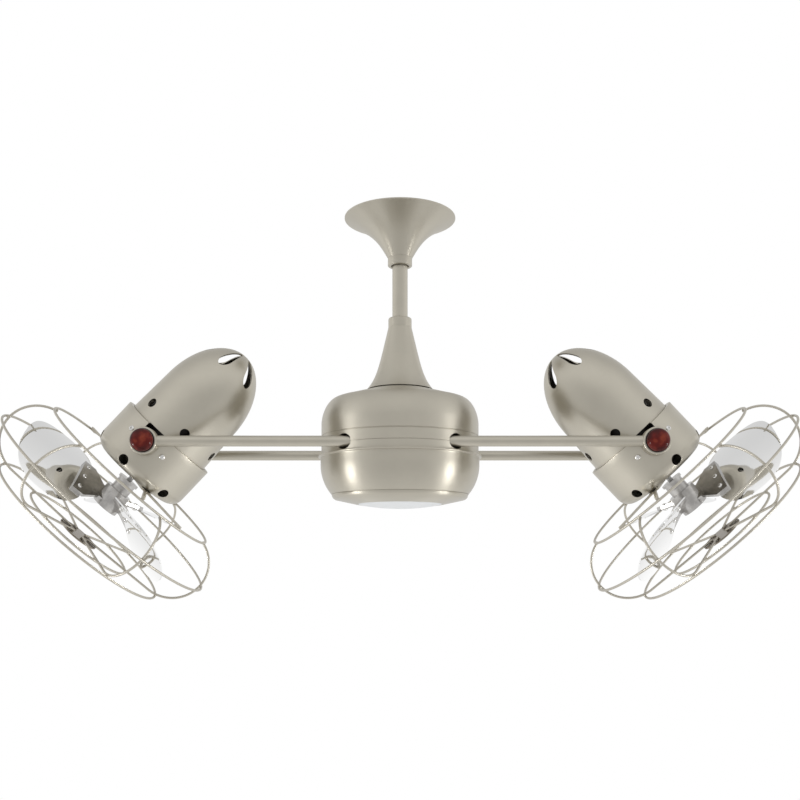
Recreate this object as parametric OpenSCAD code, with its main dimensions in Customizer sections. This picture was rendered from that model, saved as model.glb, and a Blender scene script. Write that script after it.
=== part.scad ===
// Twin head ceiling fan with a small lamp. Lengths are millimetres and angles are degrees.
// The frame: +Z up, X along the arms, and the origin on the turning axis at the ceiling face.
// Each motor head is drawn along its own axis: the head frame has its origin on the tilt
// pivot, +Z out of the front of the head, +X towards its upper side and +Y across the arms.

/* [Ceiling canopy] */
// Radius of the canopy's rim at the ceiling
canopy_r = 68.8; // [62:1:80]
// Height of the trumpet, ceiling to neck
canopy_h = 50; // [47:1:60]
// Radius of the neck
canopy_neck_r = 15.1; // [14.5:0.5:17]
// How fast the trumpet opens above its neck, radius per height
canopy_cone_rate = 0.58; // [0.55:0.05:0.7]
// How late the rim flares out
canopy_flare_power = 3.3; // [3:0.1:4]
// Wall of the canopy, measured level
canopy_wall = 2; // [1.2:0.2:2.4]
// Height of the upright lip at the ceiling
canopy_lip_h = 1.5; // [1:0.5:3]

/* [Hanger] */
// Length of the hanger bracket across the ceiling box
bracket_len = 112; // [104:1:116]
// Width of the hanger bracket
bracket_w = 36; // [34:1:40]
// Thickness of the bracket plate
bracket_t = 2.5; // [2:0.5:3.5]
// Distance between the two ceiling screw slots
slot_spacing = 88.9; // [80:0.1:90]
// Length of a slot, end to end
slot_len = 11; // [9:0.5:12]
// Half the width of a slot
slot_r = 2.6; // [2.2:0.1:3]
// Radius of the hanger ball
ball_r = 16; // [15:0.5:16.5]
// Depth of the ball's centre under the ceiling
ball_drop = 19; // [18:0.5:21]
// Radius of the two cross pins in the rod
rod_pin_r = 1.5; // [1.2:0.1:2]

/* [Downrod and its cover] */
// Outer radius of the downrod
downrod_r = 9.525; // [9:0.1:10.5]
// Wall of the downrod
downrod_wall = 2.2; // [1.6:0.2:3]
// Height of the set collar under the canopy
canopy_collar_h = 10.2; // [8:0.5:14]
// Outer radius of the collar on top of the rod cover
cover_collar_r = 14.5; // [13.5:0.5:15]
// Height of that collar
cover_collar_h = 11.8; // [10:0.5:14]
// Depth of the rod cover's top under the ceiling, collar included
cover_drop = 124.7; // [118:1:135]
// Gap between the rod cover's lower rim and the housing under it
cover_gap = 0.9; // [0.4:0.1:3]
// Radius of the rod cover's lower rim
cover_rim_r = 41.8; // [40:0.5:46]
// How fast the rod cover widens, radius per height
cover_cone_rate = 0.24; // [0.2:0.01:0.28]
// How late the rod cover's rim flares out
cover_flare_power = 6; // [4:0.5:7]
// Wall of the rod cover, measured level
cover_wall = 1.6; // [1.2:0.2:2]

/* [Hub] */
// Largest radius of the upper housing
hub_r = 97.5; // [94:0.5:100]
// Depth of the arms' centre under the ceiling
arm_drop = 287; // [283:1:292]
// Height of the housing's upper shell above the arms' centre
dome_h = 77.8; // [74:0.5:80]
// Slope of the housing's top, fall per radius
dome_slope = 0.29; // [0.25:0.01:0.32]
// Radius at which the housing's shoulder starts
shoulder_r = 80; // [76:0.5:84]
// Fullness of the shoulder's curve
shoulder_power = 1.75; // [1.6:0.05:2.2]
// Height of the shoulder's curve
shoulder_h = 31; // [26:1:34]
// Height of the fine groove above the arms' centre
groove_h = 13.5; // [12:0.5:20]
// Wall of the housing shells
hub_wall = 1.6; // [1.2:0.2:2.2]
// Height of the lower shell's foot under the arm holes
shell_foot_h = 0.8; // [0.6:0.1:3]
// Gap beside an arm tube in its hole
arm_hole_gap = 0.9; // [0.5:0.1:1.5]
// Extra height of an arm hole above and below its round ends' middle
arm_hole_rise = 1.95; // [1:0.05:2.5]
// Radius of the bowl's projecting lip
lip_r = 101.3; // [99.6:0.1:103]
// Largest radius of the bowl under its lip
bowl_r = 98.6; // [97:0.1:99.4]
// Height of the bowl under the lower shell
bowl_h = 47.5; // [44:0.5:52]
// Radius of the bowl's side curve
bowl_curve_r = 56; // [52:1:70]
// Height of the lamp bezel under the bowl
bezel_h = 11.9; // [10:0.5:14]
// Radius of the lens
lens_r = 52.3; // [48:0.5:54]
// How far the lens bulges under the bezel
lens_bulge = 5; // [3:0.5:8]

/* [Arms] */
// Outer radius of an arm tube
arm_r = 6.35; // [5.5:0.05:7]
// Wall of an arm tube
arm_wall = 1.2; // [1:0.1:2]
// Gap between the front band and each knuckle
knuckle_clearance = 1.2; // [1:0.1:9]
// Distance of the heads' tilt pivot from the turning axis
pivot_x = 300; // [298:1:320]
// Radius of a knuckle at an arm's end
knuckle_r = 16.5; // [15:0.5:18]
// Width of a knuckle along the pivot
knuckle_w = 14; // [13.4:0.2:15]
// Radius of a clamp stud
stud_r = 4; // [3:0.5:5]
// Radius of a wooden clamp knob
knob_r = 13.4; // [12:0.2:15]
// Height of a wooden clamp knob
knob_h = 10.5; // [9:0.5:14]

/* [Motor head] */
// Angle of the head's axis below level, as shown
head_tilt = 46.5; // [40:0.1:55]
// How far the front band stands out from the rear shell
band_step = 6.5; // [6:0.5:6.5]
// Distance of the band's front face from the pivot
band_front = 44; // [42:0.5:46]
// Distance of the band's rear edge behind the pivot
band_rear = 19; // [18:0.5:22]
// Radius of the rounding at the band's front edge
band_round = 16; // [12:0.5:18]
// Wall of the band and of the rear shell
head_wall = 1.8; // [1.4:0.1:2.2]
// Outer radius of the bullet shaped rear shell
shell_r = 56.5; // [55:0.5:57]
// How much narrower the rear shell is where its nose begins
shell_taper = 2.5; // [0:0.5:3]
// Length of the rear shell's tapered part behind the pivot
shell_straight = 75; // [70:1:80]
// Length of the rear shell's rounded nose
shell_nose = 82.3; // [75:1:90]
// Number of teardrop slots round the nose, of round vents and of front vents
vent_count = 6; // [4:1:8]
// Radius of a teardrop slot's wide end
teardrop_r = 7; // [5:0.5:8]
// Radius of a round vent behind the band
vent_r = 6; // [4:0.5:7]
// Radius of a vent in the band's rounded edge
front_vent_r = 6.5; // [4:0.5:7]
// Half the width of the band's notch for the pivot
notch_r = 13.5; // [11:0.5:14]
// Outer radius of the motor
motor_r = 42; // [40:0.5:43]
// Length of the motor
motor_len = 62; // [56:1:62]
// Outer radius of the motor's mounting ring
mount_ring_r = 54.3; // [50:0.5:54.5]
// Radius of the pivot ears
ear_r = 9; // [8:0.5:10]

/* [Wire cage] */
// Radius of the cage wire
wire_r = 1.5; // [1.2:0.1:1.8]
// Radius of the ribs' round side
rib_curve_r = 46; // [44:0.5:50]
// Distance of that curve's centre from the head's axis
rib_centre_r = 107.2; // [104:0.1:112]
// Distance of that curve's centre in front of the pivot
rib_centre_s = 95; // [93:0.1:97]
// Number of ribs
rib_count = 6; // [4:1:8]
// Angle of the first rib round the head's axis
rib_phase = 48; // [0:1:59]
// Angle round the ribs' curve at which the rear ring sits
rear_ring_angle = 74.5; // [70:0.5:78]
// Angle round the ribs' curve at which the front ring sits
front_ring_angle = 74; // [65:0.5:80]
// Radius of the inner front ring
inner_ring_r = 73; // [60:1:85]
// How far the spokes rise from the ribs' curve to the medallion
spoke_rise = 3; // [0:0.5:5]
// Radius of the front medallion
medallion_r = 27; // [20:1:32]
// Thickness of the cage bracket
cage_bracket_t = 2.5; // [2:0.1:2.6]
// Spread of the bracket's legs to either side
leg_spread = 15; // [10:1:20]

/* [Blades] */
// Number of blades
blade_count = 3; // [3:1:3]
// Radius of the blade tips
blade_tip_r = 128; // [120:1:134]
// Distance of the blades' roots from the axis
blade_root_r = 36; // [34:0.5:38]
// Widest half chord of a blade
blade_half_chord = 56; // [50:1:58]
// Squareness of a blade's outline
blade_power = 2.6; // [2.2:0.1:3]
// Thickness of a blade
blade_t = 1.6; // [1.2:0.1:2]
// Radius of a blade's hollow curve
blade_curve_r = 200; // [160:5:300]
// Pitch of the blades
blade_pitch = 28; // [22:1:30]
// Angle of the first blade round the head's axis, as shown
blade_phase = 332; // [300:1:359]
// Distance of the blades' middle in front of the pivot
blade_s = 90; // [88:0.5:94]
// Radius of the motor shaft
shaft_r = 3.2; // [2.5:0.1:4]
// Radius of the blade hub's casting
cast_hub_r = 17; // [16:0.5:20]
// Radius of a blade screw's head
blade_screw_head_r = 3.4; // [3:0.1:4]

/* [Fits] */
// Radial clearance of a turning fit
running_gap = 0.06; // [0.03:0.01:0.1]
// Radial clearance where pieces are seated
seat_gap = 0.02; // [0.01:0.01:0.04]
// Gap between faces that pass each other
face_gap = 0.3; // [0.2:0.1:0.5]

/* [Hidden] */
$fn = 96;
tiny = 0.01;
SIDES = ["left", "right"];
SHARED = [
    "canopy", "hanger_bracket", "hanger_ball", "rod_pins", "downrod", "rod_collars", "rod_cover",
    "spindle", "hub_dome", "hub_lower_shell", "hub_bearings", "hub_frame", "front_arm", "back_arm",
    "bowl", "bezel", "lens", "lamp_holder", "lamp", "frame_screws"
];
PER_SIDE = [
    "knuckles", "rear_shell", "front_band", "motor", "motor_mount", "band_screws", "pivot_studs",
    "front_knob", "back_knob", "cage_rear", "cage_main_ring", "cage_front_rings", "cage_ribs",
    "medallion", "shaft", "blade_hub", "blade_1", "blade_2", "blade_3", "blade_screws"
];
NODES = concat(SHARED, [for (side = SIDES) for (piece = PER_SIDE) str(side, "_", piece)]);
node = "all";

// Colours
nickel = [0.72, 0.70, 0.66];
chrome = [0.86, 0.87, 0.88];
cast = [0.78, 0.79, 0.80];
steel = [0.50, 0.51, 0.52];
dark = [0.10, 0.10, 0.11];
wood = [0.45, 0.14, 0.08];
frosted = [0.86, 0.89, 0.90];

// Heights of the fixed stem
dome_hole_r = 19;
flare_steps = 24;
collar_bore_r = downrod_r + seat_gap;
canopy_collar_z = -canopy_h - canopy_collar_h;
cover_collar_z = -cover_drop - cover_collar_h;
cover_rim_z = -arm_drop + dome_h - (cover_rim_r - cover_wall - dome_hole_r) * dome_slope + cover_gap;
cover_h = cover_collar_z - cover_rim_z;
slot_half = slot_len / 2 - slot_r;
ball_cut_top = 11;
ball_cut_low = 12;
seat_top_z = -ball_drop - ball_r * 0.375;
seat_h = 4.5;
seat_ring_r = ball_r + 7.5;
leg_t = 3;
leg_w = 14;
socket_depth = 16;
socket_wall = 4;
socket_r = downrod_r + socket_wall;
socket_top_z = -arm_drop + dome_h + 34;
socket_floor_z = socket_top_z - socket_depth;
socket_h = 28;
spindle_r = 10;
spindle_bore_r = 4;
rod_end_z = socket_floor_z + face_gap;
cross_pin_z = socket_top_z - socket_depth / 2;

// Radii that follow the rear shell
band_r = shell_r + band_step;
arm_y = band_r + knuckle_clearance + knuckle_w / 2;

// Hub heights, measured from the arms' centre
arm_z = -arm_drop;
dome_top_z = arm_z + dome_h;
seam_gap = 0.2;
groove_w = 0.9;
groove_depth = 0.5;
track_r = 13.4;
bearing_ball_r = 1.95;
bearing_pitch_r = track_r + bearing_ball_r + 0.1;
race_inner_r = bearing_pitch_r + bearing_ball_r + 0.02;
race_outer_r = 21;
race_h = 9;
bearing_ball_count = 10;
frame_wall = 5;
frame_tube_r = race_outer_r + frame_wall;
frame_top_z = dome_top_z + (dome_hole_r - frame_tube_r) * dome_slope - hub_wall - face_gap;
upper_bearing_z = frame_top_z - race_h - 1;
arm_hole_r = arm_r + arm_hole_gap;
lower_shell_h = arm_hole_r + arm_hole_rise + shell_foot_h;
lower_shell_z = arm_z - lower_shell_h;
shell_flange_t = 1.5;
shell_flange_w = 11.5;
plate_t = 2;
plate_z = lower_shell_z + shell_flange_t + seat_gap;
frame_low_z = lower_shell_z - 20;
lower_bearing_z = frame_low_z + 2;
nut_h = 3;
nut_z = lower_bearing_z - nut_h - face_gap;
nut_r = 16;
slip_ring_count = 3;
slip_ring_r = 12;
slip_ring_h = 1.6;
slip_ring_step = 3.2;
spindle_low_z = nut_z - slip_ring_count * slip_ring_step - 1;
beam_w = 28;
beam_half = arm_y + arm_r + 3;
beam_h = 18;
frame_arm_w = 16;
screw_r = 1.9;
screw_ring_r = 90;
screw_angles = [32, 148, 212, 328];
lip_t = 1.9;
bowl_flange_t = 1.6;
bowl_low_z = lower_shell_z - bowl_h;
bowl_straight = 11;
bowl_low_r = bowl_r - bowl_curve_r + sqrt(pow(bowl_curve_r, 2) - pow(bowl_h - bowl_straight, 2));
bowl_foot_w = 6;
bezel_round = 6;
bezel_t = 2;
bezel_low_z = bowl_low_z - bezel_h;
bezel_hole_r = lens_r + 0.2;
lens_t = 3;
lens_seat_w = 4.5;
lens_curve_r = (pow(lens_r, 2) + pow(lens_bulge, 2)) / (2 * lens_bulge);
holder_r = 38;
holder_t = 2;
holder_z = spindle_low_z - 4;
holder_post_r = 29;
reflector_r = 46;
reflector_z = bezel_low_z + 6;
bulb_r = 9;
bulb_socket_r = 13;
bulb_socket_h = 6;

// Arm ends
knuckle_in = arm_y - knuckle_w / 2;
knuckle_out = arm_y + knuckle_w / 2;
knuckle_round = 1.5;
arm_socket_floor = stud_r + 1.8;
arm_end_x = pivot_x - arm_socket_floor - seat_gap;
washer_t = 1;
washer_in = knuckle_out + face_gap;
washer_r = knob_r + 0.8;
knob_in = washer_in + washer_t + face_gap;
knob_skirt = 3;
stud_in = mount_ring_r - 4;
stud_out = knob_in + knob_h - 2;

// Head
ear_out = knuckle_in - face_gap;
shell_flange_front = 11;
shell_flange_h = 3;
band_inner_r = band_r - head_wall;
shell_flange_r = band_inner_r - 0.2;
nose_steps = 28;
band_hole_r = 12;
slot_ring_r = (shell_r - shell_taper) * 0.64;
slot_tip_r = (shell_r - shell_taper) * 0.18;
slot_tip_half = 1.4;
teardrop_phase = 40;
vent_phase = 5;
vent_s = -38;
front_vent_phase = 35;
front_vent_lean = 20;
motor_front = 12;
motor_skin = 2.2;
winding_r = 25.5;
rotor_gap = 0.5;
rotor_len = 40;
boss_r = 9;
boss_h = 3;
shaft_rear = motor_len - motor_front - motor_skin;
ring_half = 8;
pad_r = 6;
pad_angle = 23.4;
pad_out = sqrt(pow(band_inner_r, 2) - pow(pad_r, 2)) - seat_gap;
band_screw_r = 1.6;
band_screw_head_r = 3.4;
band_screw_head_h = 1.6;
lug_w = 10;
lug_angles = [30, 150, 210, 330];

// Cage
weld_gap = 0.02;
wire_step = 2 * wire_r + weld_gap;
ring_curve_r = rib_curve_r + wire_step;
rear_ring_s = rib_centre_s - ring_curve_r * sin(rear_ring_angle);
rear_ring_r = rib_centre_r + ring_curve_r * cos(rear_ring_angle);
main_ring_r = rib_centre_r + ring_curve_r;
front_ring_s = rib_centre_s + ring_curve_r * sin(front_ring_angle);
front_ring_r = rib_centre_r + ring_curve_r * cos(front_ring_angle);
rib_front_s = rib_centre_s + rib_curve_r;
rib_tail = 3;
rib_end_r = 13;
spoke_slope = spoke_rise / (rib_centre_r - rib_end_r);
spoke_angle = atan(spoke_slope);
inner_ring_s = rib_front_s + (rib_centre_r - inner_ring_r) * spoke_slope + wire_step / cos(spoke_angle);
medallion_s = rib_front_s + spoke_rise + wire_r + weld_gap;
medallion_edge = 1.6;
medallion_dome = 4;
bracket_hole_r = 14;
bracket_eye_r = 24;
bracket_bar_w = 15;
bracket_bar_r = 52;
leg_width = 4;

// Blades and hub
blade_mid_in = 2;
blade_mid_r = (blade_tip_r + blade_root_r) / 2 - blade_mid_in;
blade_half_span = blade_tip_r - blade_mid_r;
outline_steps = 72;
bracket_t_blade = 4.4;
blade_lap = 14;
arm_root_half = 12;
arm_tip_half = 28;
blade_screw_r = 2;
blade_screw_pitch = 19;
hub_disc_r = 13.8;
hub_disc_t = 3;
hub_disc_s = band_front + 10;
hub_neck_r = 12;
cast_low_s = blade_s - 18;
cast_high_s = blade_s + 9;

// Frames

module on_side(side) {
    if (side == "right") mirror([1, 0, 0]) children();
    else children();
}

module in_head(side) {
    on_side(side) translate([-pivot_x, 0, arm_z]) rotate([0, -90 - head_tilt, 0]) children();
}

module on_blade(index) {
    rotate([0, 0, blade_phase + index * 360 / blade_count])
        translate([0, 0, blade_s]) rotate([-blade_pitch, 0, 0]) children();
}

// A cylinder along Y from y1 to y2
module bar_y(r, y1, y2) {
    translate([0, y1, 0]) rotate([-90, 0, 0]) cylinder(r = r, h = y2 - y1);
}

// A cylinder along X from x1 to x2
module bar_x(r, x1, x2) {
    translate([x1, 0, 0]) rotate([0, 90, 0]) cylinder(r = r, h = x2 - x1);
}

// A tube standing on z, open at both ends
module tube(r_out, r_in, z, h) {
    translate([0, 0, z]) difference() {
        cylinder(r = r_out, h = h);
        translate([0, 0, -1]) cylinder(r = r_in, h = h + 2);
    }
}

// A wire bent to a circle round the axis
module wire_ring(ring_r, s) {
    translate([0, 0, s]) rotate_extrude() translate([ring_r, 0]) circle(r = wire_r, $fn = 32);
}

// Fixed stem

function trumpet_r(u, h, neck_r, cone_rate, rim_r, power) =
    neck_r + cone_rate * u * h + (rim_r - neck_r - cone_rate * h) * pow(u, power);

module canopy() {
    flare_h = canopy_h - canopy_lip_h;
    side = [for (i = [0 : flare_steps])
        [trumpet_r(i / flare_steps, flare_h, canopy_neck_r, canopy_cone_rate, canopy_r, canopy_flare_power),
         -canopy_h + flare_h * i / flare_steps]];
    inside = [for (i = [flare_steps : -1 : 0]) side[i] - [canopy_wall, 0]];
    color(nickel) rotate_extrude()
        polygon(concat(side, [[canopy_r, 0], [canopy_r - canopy_wall, 0]], inside));
}

module slot_cut(x) {
    translate([x, 0, -bracket_t - 1]) linear_extrude(bracket_t + 2) {
        translate([-slot_half, 0]) circle(r = slot_r);
        translate([slot_half, 0]) circle(r = slot_r);
        square([2 * slot_half, 2 * slot_r], center = true);
    }
}

module hanger_bracket() {
    low_z = seat_top_z - seat_h;
    color(steel) difference() {
        union() {
            intersection() {
                translate([0, 0, -bracket_t]) cylinder(d = bracket_len, h = bracket_t);
                translate([-bracket_len / 2, -bracket_w / 2, -bracket_t])
                    cube([bracket_len, bracket_w, bracket_t]);
            }
            translate([0, 0, low_z]) cylinder(r = seat_ring_r, h = seat_h);
            for (x = [-1, 1])
                translate([x * (seat_ring_r - leg_t / 2) - leg_t / 2, -leg_w / 2, low_z])
                    cube([leg_t, leg_w, -bracket_t - low_z + tiny]);
        }
        translate([0, 0, -ball_drop]) sphere(r = ball_r + seat_gap);
        translate([0, 0, seat_top_z]) cylinder(r = ball_r + 1, h = canopy_h);
        for (x = [-1, 1]) slot_cut(x * slot_spacing / 2);
    }
}

module hanger_ball() {
    color(dark) difference() {
        intersection() {
            translate([0, 0, -ball_drop]) sphere(r = ball_r);
            translate([0, 0, -ball_drop - ball_cut_low])
                cylinder(r = ball_r + 1, h = ball_cut_low + ball_cut_top);
        }
        translate([0, 0, -ball_drop - ball_r]) cylinder(r = collar_bore_r, h = 2 * ball_r);
        translate([0, 0, -ball_drop]) bar_y(rod_pin_r + seat_gap, -ball_r - 1, ball_r + 1);
    }
}

module rod_pins() {
    ball_pin_half = ball_r - 1.5;
    color(steel) {
        translate([0, 0, -ball_drop]) bar_y(rod_pin_r, -ball_pin_half, ball_pin_half);
        translate([0, 0, cross_pin_z]) bar_y(rod_pin_r, -socket_r, socket_r);
    }
}

module downrod() {
    top_z = -ball_drop + ball_cut_top;
    color(nickel) difference() {
        tube(downrod_r, downrod_r - downrod_wall, rod_end_z, top_z - rod_end_z);
        for (z = [-ball_drop, cross_pin_z])
            translate([0, 0, z]) bar_y(rod_pin_r + seat_gap, -downrod_r - 1, downrod_r + 1);
    }
}

// The canopy's set collar has a wide mouth below; the cover's collar is plain
module rod_collars() {
    mouth_r = downrod_r + 1.7;
    mouth_h = 4;
    edge = 1.2;
    color(nickel) {
        difference() {
            rotate_extrude() polygon([
                [collar_bore_r, -canopy_h], [canopy_neck_r, -canopy_h],
                [canopy_neck_r, canopy_collar_z + edge], [canopy_neck_r - edge, canopy_collar_z],
                [mouth_r, canopy_collar_z], [mouth_r, canopy_collar_z + mouth_h],
                [collar_bore_r, canopy_collar_z + mouth_h]]);
            translate([0, 0, -canopy_h - canopy_collar_h * 0.4])
                bar_x(1.6, downrod_r, canopy_neck_r + 1);
        }
        rotate_extrude() polygon([
            [collar_bore_r, cover_collar_z], [collar_bore_r, -cover_drop],
            [cover_collar_r - 2 * edge, -cover_drop], [cover_collar_r, -cover_drop - edge],
            [cover_collar_r, cover_collar_z]]);
    }
}

module rod_cover() {
    side = [for (i = [0 : flare_steps])
        [trumpet_r(i / flare_steps, cover_h, cover_collar_r, cover_cone_rate, cover_rim_r, cover_flare_power),
         cover_collar_z - cover_h * i / flare_steps]];
    inside = [for (i = [flare_steps : -1 : 1]) side[i] - [cover_wall, 0]];
    top_t = cover_h / flare_steps;
    color(nickel) rotate_extrude() polygon(concat(side, inside,
        [[collar_bore_r, cover_collar_z - top_t], [collar_bore_r, cover_collar_z]]));
}

module spindle() {
    color(steel) difference() {
        union() {
            translate([0, 0, socket_top_z - socket_h]) cylinder(r = socket_r, h = socket_h);
            translate([0, 0, spindle_low_z]) cylinder(r = spindle_r, h = socket_floor_z - spindle_low_z);
            for (z = [upper_bearing_z, lower_bearing_z]) translate([0, 0, z]) cylinder(r = track_r, h = race_h);
            translate([0, 0, nut_z]) cylinder(r = nut_r, h = nut_h, $fn = 6);
            for (i = [1 : slip_ring_count])
                translate([0, 0, nut_z - i * slip_ring_step]) cylinder(r = slip_ring_r, h = slip_ring_h);
        }
        translate([0, 0, socket_floor_z]) cylinder(r = collar_bore_r, h = socket_depth + 1);
        translate([0, 0, spindle_low_z - 1]) cylinder(r = spindle_bore_r, h = socket_floor_z - spindle_low_z + 2);
        translate([0, 0, cross_pin_z]) bar_y(rod_pin_r + seat_gap, -socket_r - 1, socket_r + 1);
    }
}

// Hub

// The shell's side: a sloping top, a full shoulder and an upright wall
function dome_side(inset) =
    let (top_r = shoulder_r - inset,
         wall_r = hub_r - inset,
         edge_z = dome_top_z - (shoulder_r - dome_hole_r) * dome_slope - inset,
         steps = 16)
    concat(
        [[dome_hole_r, dome_top_z - inset]],
        [for (i = [0 : steps]) let (a = 90 * i / steps)
            [top_r + (wall_r - top_r) * pow(sin(a), 2 / shoulder_power),
             edge_z - shoulder_h + shoulder_h * pow(cos(a), 2 / shoulder_power)]]);

// Upright oval holes for the arms
module arm_holes() {
    for (y = [-arm_y, arm_y]) translate([0, y, arm_z]) {
        for (z = [-arm_hole_rise, arm_hole_rise]) translate([0, 0, z]) bar_x(arm_hole_r, -hub_r - 1, hub_r + 1);
        translate([-hub_r - 1, -arm_hole_r, -arm_hole_rise]) cube([2 * hub_r + 2, 2 * arm_hole_r, 2 * arm_hole_rise]);
    }
}

module hub_dome() {
    outside = dome_side(0);
    inside = dome_side(hub_wall);
    low_z = arm_z + seam_gap / 2;
    back = [for (i = [len(inside) - 1 : -1 : 0]) inside[i]];
    color(nickel) difference() {
        rotate_extrude() polygon(concat(outside, [[hub_r, low_z], [hub_r - hub_wall, low_z]], back));
        tube(hub_r + 1, hub_r - groove_depth, arm_z + groove_h - groove_w / 2, groove_w);
        arm_holes();
    }
}

module screw_holes(z, h) {
    for (a = screw_angles) rotate([0, 0, a])
        translate([screw_ring_r, 0, z]) cylinder(r = screw_r + 0.1, h = h, $fn = 24);
}

module hub_lower_shell() {
    low_r = hub_r - hub_wall;
    color(nickel) difference() {
        union() {
            tube(hub_r, low_r, lower_shell_z, lower_shell_h - seam_gap / 2);
            tube(low_r + tiny, hub_r - shell_flange_w, lower_shell_z, shell_flange_t);
        }
        arm_holes();
        screw_holes(lower_shell_z - 1, shell_flange_t + 2);
    }
}

module hub_bearings() {
    color(steel) for (z = [upper_bearing_z, lower_bearing_z]) {
        tube(race_outer_r, race_inner_r, z, race_h);
        for (i = [0 : bearing_ball_count - 1]) rotate([0, 0, i * 360 / bearing_ball_count])
            translate([bearing_pitch_r, 0, z + race_h / 2]) sphere(r = bearing_ball_r, $fn = 24);
    }
}

// A flat arm of the frame from the middle out to the lower shell's flange
module frame_arm(angle, width, reach) {
    rotate([0, 0, angle]) translate([holder_r - 4, -width / 2, plate_z]) cube([reach - holder_r + 4, width, plate_t]);
}

module hub_frame() {
    plate_r = hub_r - hub_wall - 0.2;
    color(cast) difference() {
        union() {
            translate([0, 0, frame_low_z]) cylinder(r = frame_tube_r, h = frame_top_z - frame_low_z);
            translate([-beam_w / 2, -beam_half, arm_z - arm_r - tiny]) cube([beam_w, 2 * beam_half, beam_h]);
            translate([0, 0, plate_z]) cylinder(r = holder_r, h = plate_t);
            for (a = screw_angles) frame_arm(a, frame_arm_w, sqrt(pow(plate_r, 2) - pow(frame_arm_w / 2, 2)));
            for (a = [90, 270]) frame_arm(a, beam_w + 4, sqrt(pow(plate_r, 2) - pow(beam_w / 2 + 2, 2)));
            for (y = [-1, 1]) translate([-beam_w / 2, y * arm_y - arm_r, plate_z + plate_t - tiny])
                cube([beam_w, 2 * arm_r, arm_z - arm_r - plate_z - plate_t + 2 * tiny]);
        }
        translate([0, 0, upper_bearing_z - seat_gap]) cylinder(r = race_outer_r + seat_gap, h = dome_h);
        translate([0, 0, frame_low_z - 1])
            cylinder(r = race_outer_r + seat_gap, h = lower_bearing_z + race_h + seat_gap - frame_low_z + 1);
        translate([0, 0, frame_low_z]) cylinder(r = nut_r + 1.5, h = frame_top_z - frame_low_z);
        for (y = [-arm_y, arm_y]) translate([0, y, arm_z]) bar_x(arm_r + seat_gap, -hub_r, hub_r);
        screw_holes(plate_z - 1, plate_t + 2);
        for (a = [90, 210, 330]) rotate([0, 0, a])
            translate([holder_post_r + 4, 0, plate_z - 1]) cylinder(r = screw_r + 0.1, h = 8, $fn = 24);
    }
}

module arm_tube(y) {
    color(nickel) translate([0, y, arm_z]) difference() {
        bar_x(arm_r, -arm_end_x, arm_end_x);
        bar_x(arm_r - arm_wall, -arm_end_x - 1, arm_end_x + 1);
    }
}

// Side curve of the bowl, top to bottom, moved in by inset
function bowl_side(inset) =
    let (steps = 14, end_a = asin((bowl_h - bowl_straight) / bowl_curve_r))
    [for (i = [0 : steps]) let (a = end_a * i / steps)
        [bowl_r - bowl_curve_r + (bowl_curve_r - inset) * cos(a),
         lower_shell_z - bowl_straight - (bowl_curve_r - inset) * sin(a)]];

module bowl() {
    outside = bowl_side(0);
    inside = [for (i = [len(outside) - 1 : -1 : 0]) bowl_side(hub_wall)[i]];
    top_z = lower_shell_z - seat_gap;
    inner_r = hub_r - shell_flange_w;
    color(nickel) difference() {
        rotate_extrude() polygon(concat(
            [[inner_r, top_z], [lip_r - 0.6, top_z], [lip_r, top_z - 0.5], [lip_r, top_z - lip_t + 0.7],
             [lip_r - 0.8, top_z - lip_t], [bowl_r, top_z - lip_t - 0.6]],
            outside,
            [[bowl_low_r - bowl_foot_w, bowl_low_z], [bowl_low_r - bowl_foot_w, bowl_low_z + hub_wall]],
            [for (p = inside) if (p[1] > bowl_low_z + hub_wall) p],
            [[bowl_r - hub_wall, top_z - bowl_flange_t - 1], [bowl_r - hub_wall - 1, top_z - bowl_flange_t],
             [inner_r, top_z - bowl_flange_t]]));
        screw_holes(top_z - bowl_flange_t - 1, bowl_flange_t + 2);
    }
}

module bezel() {
    rim_r = bowl_low_r - 0.4;
    top_z = bowl_low_z - seat_gap;
    corner = [rim_r - bezel_round, top_z - 0.4];
    round_steps = 6;
    inner_low_z = bezel_low_z + bezel_t;
    color(nickel) rotate_extrude() polygon(concat(
        [[rim_r - 5, top_z], [rim_r, top_z]],
        [for (i = [0 : round_steps]) let (a = 66 * i / round_steps)
            corner + bezel_round * [cos(a), -sin(a)]],
        [[bezel_hole_r, bezel_low_z], [bezel_hole_r, inner_low_z], [bezel_hole_r + lens_seat_w, inner_low_z],
         [rim_r - bezel_round - 3, top_z - 5], [rim_r - 5, top_z - 2.5]]));
}

module lens() {
    seat_z = bezel_low_z + bezel_t + seat_gap;
    cap_z = bezel_low_z + lens_curve_r - lens_bulge;
    color(frosted) {
        difference() {
            union() {
                translate([0, 0, bezel_low_z]) cylinder(r = lens_r, h = bezel_t + seat_gap + tiny);
                translate([0, 0, seat_z]) cylinder(r = bezel_hole_r + lens_seat_w - 1, h = lens_t / 2);
                intersection() {
                    translate([0, 0, cap_z]) sphere(r = lens_curve_r);
                    translate([0, 0, bezel_low_z - lens_bulge - 1]) cylinder(r = lens_r, h = lens_bulge + 1 + tiny);
                }
            }
            translate([0, 0, cap_z + lens_t]) sphere(r = lens_curve_r);
        }
    }
}

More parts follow.
